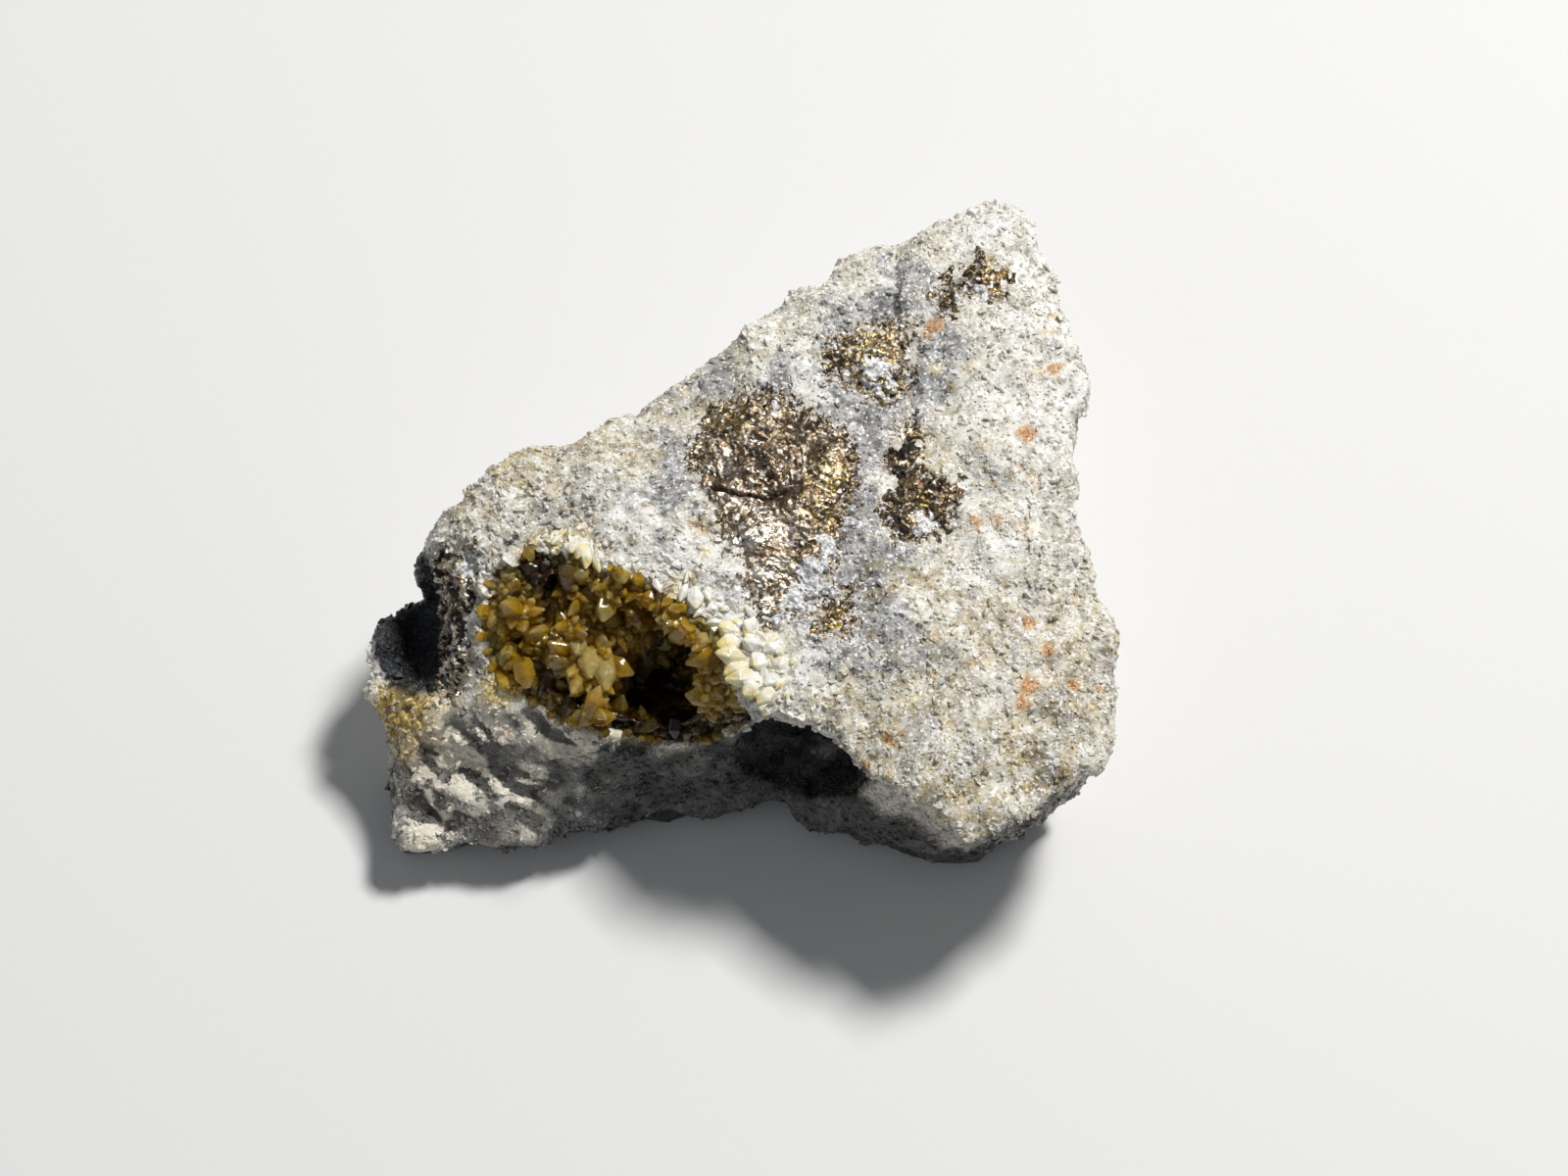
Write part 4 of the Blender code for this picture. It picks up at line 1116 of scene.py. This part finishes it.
def add_metal(stone, zones, name, material, granular, quartz):
    """One telluride mass: the stone's own surface again, raised inside its outline."""
    piece = metal_sheet(stone, name, material)
    mesh = piece.data
    points, normals = mesh_points(mesh), mesh_normals(mesh)
    border = inside_by(points, OUTLINES[name]) + layered(points, METAL_BORDER)
    rough = flakes(points, granular)
    move = METAL_SUNK + METAL_RISE * fade((border + 0.5) / 0.9) + METAL_RELIEF * rough
    move += METAL_SWELL * noise(points, 1.3, 107) * fade(border)
    gap = fade((FISSURE_REACH - fissure_distance(points)) / 0.13)
    width = CREVICE_WIDTH + 0.06 * noise(points, 0.6, 117)
    far = nearest_line(warped(points, 0.2, 0.9, 114), zones.crevices)
    crevice = fade((width - far) / 0.08)
    move -= FISSURE_DEPTH * gap + CREVICE_DEPTH * crevice
    set_points(mesh, points + normals * move[:, None])
    stony = np.maximum(zones.share("quartz", points), quartz)
    values = {zone: zones.share(zone, points) for zone in ("gold", "dark_patch", "shine")}
    values["height"] = 0.5 + 0.4 * rough
    values["stony"] = stony + (1.0 - stony) * fade((0.45 - border) / 1.3)
    # The fissure and crevices are cut in and also coloured black: painted shade in them.
    values["gap"] = np.maximum(gap, 0.85 * crevice)
    give(mesh, values)
    smooth_shaded(mesh)
    close_below(piece)


def crystal_shape(rng, soften):
    """One six-sided crystal from z = 0 to 1, one wide, its edges softened or plain."""
    bm = bmesh.new()
    tip_share = rng.uniform(0.35, 0.55)
    angles = np.radians(60.0 * np.arange(6) + rng.uniform(-9, 9, 6))
    spread_out = rng.uniform(0.40, 0.54, 6)
    rings = []
    for height, share in ((0.0, 0.85), (1.0 - tip_share, 1.0)):
        ring = []
        for angle, out in zip(angles, spread_out):
            x, y = math.cos(angle) * out * share, math.sin(angle) * out * share
            lift = 0.08 * rng.uniform(-1, 1) if height else 0.0
            ring.append(bm.verts.new((x, y, height + lift)))
        rings.append(ring)
    tip = bm.verts.new((rng.uniform(-0.07, 0.07), rng.uniform(-0.07, 0.07), 1.0))
    bm.faces.new(rings[0][::-1])
    for k in range(6):
        j = (k + 1) % 6
        bm.faces.new((rings[0][k], rings[0][j], rings[1][j], rings[1][k]))
        bm.faces.new((rings[1][k], rings[1][j], tip))
    if soften:
        edges = [e for e in bm.edges if not (e.verts[0] in rings[0] and e.verts[1] in rings[0])]
        bmesh.ops.bevel(bm, geom=edges, offset=0.045, segments=1, affect="EDGES")
    bmesh.ops.triangulate(bm, faces=bm.faces)
    bmesh.ops.recalc_face_normals(bm, faces=bm.faces)
    bm.verts.index_update()
    places = np.array([v.co for v in bm.verts])
    corners = np.array([[v.index for v in f.verts] for f in bm.faces])
    bm.free()
    return places, corners


def aimed_turns(rng, directions):
    """Rotation matrices whose z axes point along the directions, spun at random."""
    z = unit(directions)
    helper = np.where(np.abs(z[:, 2:]) < 0.9, [[0.0, 0.0, 1.0]], [[1.0, 0.0, 0.0]])
    x = unit(np.cross(helper, z))
    y = np.cross(z, x)
    spin = rng.uniform(0, 2 * math.pi, len(z))[:, None]
    turned = np.cos(spin) * x + np.sin(spin) * y
    return np.stack([turned, np.cross(z, turned), z], axis=2)


def crust_base():
    """The crust itself, evenly meshed, closed up to the stone and lower at its rim."""
    mesh = remeshed("crust", [welded("quartz_crust")], CRUST_VOXEL)
    points, normals = mesh_points(mesh), mesh_normals(mesh)
    facing = crust_facing(points, normals)
    inward = hollow_axes()[2]
    away = points - HOLLOW_CENTRE - SHIFT
    away = unit(away - (away @ inward)[:, None] * inward)
    outer = fade(-facing / 0.4) * (hollow_share(points) > 0.85)
    lip = crust_lip(points, normals)
    relief = layered(points, CRUST_WAVES)
    points += normals * relief[:, None] + away * CRUST_GROW * outer[:, None]
    points += inward * (CRUST_LIP_DROP * lip)[:, None]
    set_points(mesh, points)
    return mesh, lip


def crust_facing(points, normals):
    """1 where the surface faces the middle of the hollow, -1 where it faces away."""
    return np.sum(to_middle(points) * normals, axis=1)


def crust_lip(points, normals):
    """1 on the rim of the crust, at the mouth of the hollow."""
    outwards = -(normals @ hollow_axes()[2])
    return fade((outwards - 0.2) / 0.4) * fade((hollow_share(points) - 0.78) / 0.08)


def well_spaced(points, sizes, order, spacing, most):
    """Indices of points, in order, that keep a share of their sizes apart."""
    grid, chosen = {}, []
    for index in order:
        p, size = points[index], sizes[index]
        key = tuple(int(k) for k in np.floor(p))
        near = [q for dx, dy, dz in np.ndindex(3, 3, 3)
                for q in grid.get((key[0] + dx - 1, key[1] + dy - 1, key[2] + dz - 1), ())]
        if any(np.sum((p - q) ** 2) < (spacing * (size + other)) ** 2 for q, other in near):
            continue
        grid.setdefault(key, []).append((p, size))
        chosen.append(index)
        if len(chosen) >= most:
            break
    return np.array(chosen)


def add_crystals(name, shapes, rng, feet, directions, lengths, widths, looks, material):
    """One piece of crystals, each from its foot along its direction."""
    kinds = rng.integers(0, len(shapes), len(feet))
    flat = rng.uniform(0.8, 1.15, len(feet))
    scales = np.column_stack([widths * flat, widths / flat, lengths])
    points, corners, owners, heights = scattered(
        shapes, kinds, feet, aimed_turns(rng, directions), scales)
    mesh = mesh_of(name, points, corners)
    give(mesh, {name: value[owners] for name, value in looks.items()})
    give(mesh, {"tip": fade((heights - 0.35) / 0.65)})
    add_piece(name, mesh, material, "quartz")


def small_crystals(base, lip, rng):
    """Feet, directions, sizes and tones of the crystals that cover the crust."""
    points, normals = mesh_points(base), mesh_normals(base)
    share = hollow_share(points)
    facing = crust_facing(points, normals)
    open_side = (facing > -0.1) | (share < 0.84) | (lip > 0.3)
    order = rng.permutation(np.nonzero(open_side)[0])
    sizes = CRYSTAL_SIZE[0] + (CRYSTAL_SIZE[1] - CRYSTAL_SIZE[0]) * rng.random(len(points)) ** 1.7
    chosen = well_spaced(points, sizes, order, CRYSTAL_SPACING, CRYSTAL_MOST)
    feet, out, sizes, lip = points[chosen], normals[chosen], sizes[chosen], lip[chosen]
    lean = out + 0.3 * rng.normal(size=out.shape) + 0.4 * lip[:, None] * to_middle(feet)
    depth = (feet - HOLLOW_CENTRE - SHIFT) @ hollow_axes()[2] / HOLLOW_HALF[2]
    tone = 0.42 + 0.25 * noise(feet, 2.4, 124) + 0.35 * (rng.random(len(sizes)) - 0.5)
    # Paler at the lip; darker deeper in the hollow, which is painted shade.
    tone += 0.35 * lip - 0.18 * depth
    return feet, lean, sizes, tone, lip


def rim_feet(stone, rng):
    """Feet, directions and sizes of the pale crystals round the hollow's mouth."""
    points, normals = mesh_points(stone), mesh_normals(stone)
    share = hollow_share(points)
    rim = (share > 0.97) & (share < 1.2) & (normals[:, 2] > 0.2)
    rim &= points @ RIM_SIDE > RIM_FROM
    rim &= layered(points, RIM_WAVES) > -0.05
    order = rng.permutation(np.nonzero(rim)[0])
    sizes = rng.uniform(0.25, 0.7, len(points))
    chosen = well_spaced(points, sizes, order, RIM_SPACING, RIM_MOST)
    feet, out, sizes = points[chosen], normals[chosen], sizes[chosen]
    lean = 0.8 * out + 0.7 * to_middle(feet) + 0.3 * rng.normal(size=out.shape)
    return feet - 0.3 * sizes[:, None] * out, lean, sizes


def rim_points(zones, rng):
    """The named crystals of the rim, each with smaller ones by it."""
    feet = np.array([on_surface(zones.tree, crystal[0]) for crystal in RIM_CRYSTALS])
    ways = unit(np.array([crystal[1] for crystal in RIM_CRYSTALS]))
    lengths, widths, tones = np.array([crystal[2:] for crystal in RIM_CRYSTALS]).T
    near = np.repeat(np.arange(len(feet)), RIM_COMPANIONS)
    beside = feet[near] + 0.5 * widths[near][:, None] * rng.normal(size=(len(near), 3))
    beside = np.array([zones.tree.find_nearest(Vector(place))[0] for place in beside])
    # Companions are kept off the walls with painted shade.
    off_painted_shade = zones.shade(beside) < 0.3
    near, beside = near[off_painted_shade], beside[off_painted_shade]
    leaning = unit(ways[near] + 0.35 * rng.normal(size=(len(near), 3)))
    smaller = rng.uniform(0.25, 0.6, len(near))
    feet, ways = np.vstack([feet, beside]), np.vstack([ways, leaning])
    lengths = np.concatenate([lengths, lengths[near] * smaller])
    widths = np.concatenate([widths, widths[near] * smaller])
    tones = np.concatenate([tones, tones[near] + rng.uniform(-0.3, 0.3, len(near))])
    return feet - 0.6 * ways, ways, lengths + 0.6, widths, tones


def add_crust(stone, zones, materials):
    """The hollow's crust with its crystals, and the paler crystals on its rim."""
    rng = np.random.default_rng(CRYSTAL_SEED)
    base, lip = crust_base()
    points = mesh_points(base)
    recesses = spot_places(tree_of(base), RECESSES)
    give(base, {"tone": 0.30 + 0.3 * noise(points, 1.4, 123) + 0.3 * lip,
                "painted_recess_shade": spread(points, recesses, *BORDERS["recess"]),
                "tip": np.full(len(points), 0.5)})
    smooth_shaded(base)
    add_piece("quartz_crust_looks", base, materials["crust_bed"], "quartz", "quartz_crust")
    plain = [crystal_shape(rng, False) for _ in range(CRYSTAL_KINDS)]
    soft = [crystal_shape(rng, True) for _ in range(CRYSTAL_KINDS)]

    # The small crystals of the hollow, away from the heads of the large ones.
    key = np.array([[*foot, *way, length, width] for foot, way, length, width in KEY_CRYSTALS])
    key_feet, key_ways, key_lengths = key[:, :3] + SHIFT, unit(key[:, 3:6]), key[:, 6]
    heads = key_feet + 0.6 * key_lengths[:, None] * key_ways
    feet, lean, sizes, tone, at_lip = small_crystals(base, lip, rng)
    lengths = sizes * rng.uniform(1.1, 1.8, len(sizes)) * (1.0 - 0.35 * at_lip)
    out = unit(lean)
    tips = feet + 0.65 * out * lengths[:, None]
    painted_recess_shade = spread(feet, recesses, *BORDERS["recess"])
    clear = np.min(np.linalg.norm(tips[:, None] - heads[None], axis=2), axis=1) > KEY_CLEAR
    clear &= (painted_recess_shade < 0.6) | (at_lip > 0.25)
    feet, lean, sizes, tone, lengths, out = (
        values[clear] for values in (feet, lean, sizes, tone, lengths, out))
    feet = feet - out * 0.35 * lengths[:, None]
    painted_recess_shade = spread(feet, recesses, *BORDERS["recess"])
    add_crystals("hollow_crystals", soft, rng, feet, lean, lengths, sizes,
                 {"tone": tone, "painted_recess_shade": painted_recess_shade}, materials["amber_quartz"])
    looks = {"tone": rng.uniform(0.75, 1.05, len(key)), "painted_recess_shade": np.zeros(len(key))}
    add_crystals("cluster_crystals", soft, rng, key_feet - 0.5 * key_ways, key_ways,
                 key_lengths + 0.5, key[:, 7], looks, materials["amber_quartz"])

    # The rim: large crystals first, small ones between them.
    feet, lean, lengths, widths, tones = rim_points(zones, rng)
    add_crystals("rim_points", soft, rng, feet, lean, lengths, widths,
                 {"tone": tones, "painted_recess_shade": 0.0 * tones}, materials["pale_quartz"])
    feet, lean, sizes = rim_feet(stone, rng)
    lengths = sizes * rng.uniform(0.9, 1.35, len(sizes))
    share = hollow_share(feet)
    tone = 0.45 + 0.7 * fade((share - 0.97) / 0.12) + 0.4 * (rng.random(len(sizes)) - 0.5)
    add_crystals("rim_crystals", plain, rng, feet, lean, lengths, sizes,
                 {"tone": tone, "painted_recess_shade": 0.0 * tone}, materials["pale_quartz"])


def add_light(name, place, aim, size, power, colour):
    """A square soft light, place and aim in mm."""
    light = bpy.data.lights.new(name, "AREA")
    light.size = size * MM
    light.energy = power
    light.color = colour
    lamp = bpy.data.objects.new(name, light)
    lamp.location = Vector(place) * MM
    aimed = Vector(aim) - Vector(place)
    lamp.rotation_mode = "QUATERNION"
    lamp.rotation_quaternion = aimed.to_track_quat("-Z", "Y")
    bpy.context.scene.collection.objects.link(lamp)


def add_stage():
    """Floor, lights, pale surroundings and the camera."""
    bpy.ops.mesh.primitive_plane_add(size=FLOOR_WIDTH_M)
    floor = bpy.context.object
    floor.name = "floor"
    floor.data.materials.append(floor_material())
    world = bpy.data.worlds.new("studio")
    bpy.context.scene.world = world
    world.use_nodes = True
    background = world.node_tree.nodes["Background"]
    background.inputs["Color"].default_value = WORLD_COLOUR
    background.inputs["Strength"].default_value = WORLD_STRENGTH
    for name, light in LIGHTS.items():
        add_light(name, *light)
    camera = bpy.data.objects.new("camera", bpy.data.cameras.new("camera"))
    camera.data.lens = LENS
    camera.data.sensor_width = SENSOR
    camera.data.clip_start = 0.01
    camera.location = Vector(EYE * MM)
    camera.rotation_mode = "QUATERNION"
    camera.rotation_quaternion = Vector(FORWARD).to_track_quat("-Z", "Y")
    bpy.context.scene.collection.objects.link(camera)
    bpy.context.scene.camera = camera
    bpy.context.scene.view_settings.view_transform = "Standard"


def main():
    stone, zones = stone_mesh()
    rock = stone_material()
    for name, (golden, darkness, granular, quartz) in METALS.items():
        skin = metal_material(name + "_skin", golden, darkness)
        add_metal(stone, zones, name, skin, granular, quartz)
    open_fissure(stone)
    add_piece("stone", stone, rock, "matrix", "matrix")
    add_grains(stone, zones, rock)
    add_crust(stone, zones, {name: quartz_material(name, *looks)
                             for name, looks in QUARTZ.items()})
    add_stage()


main()
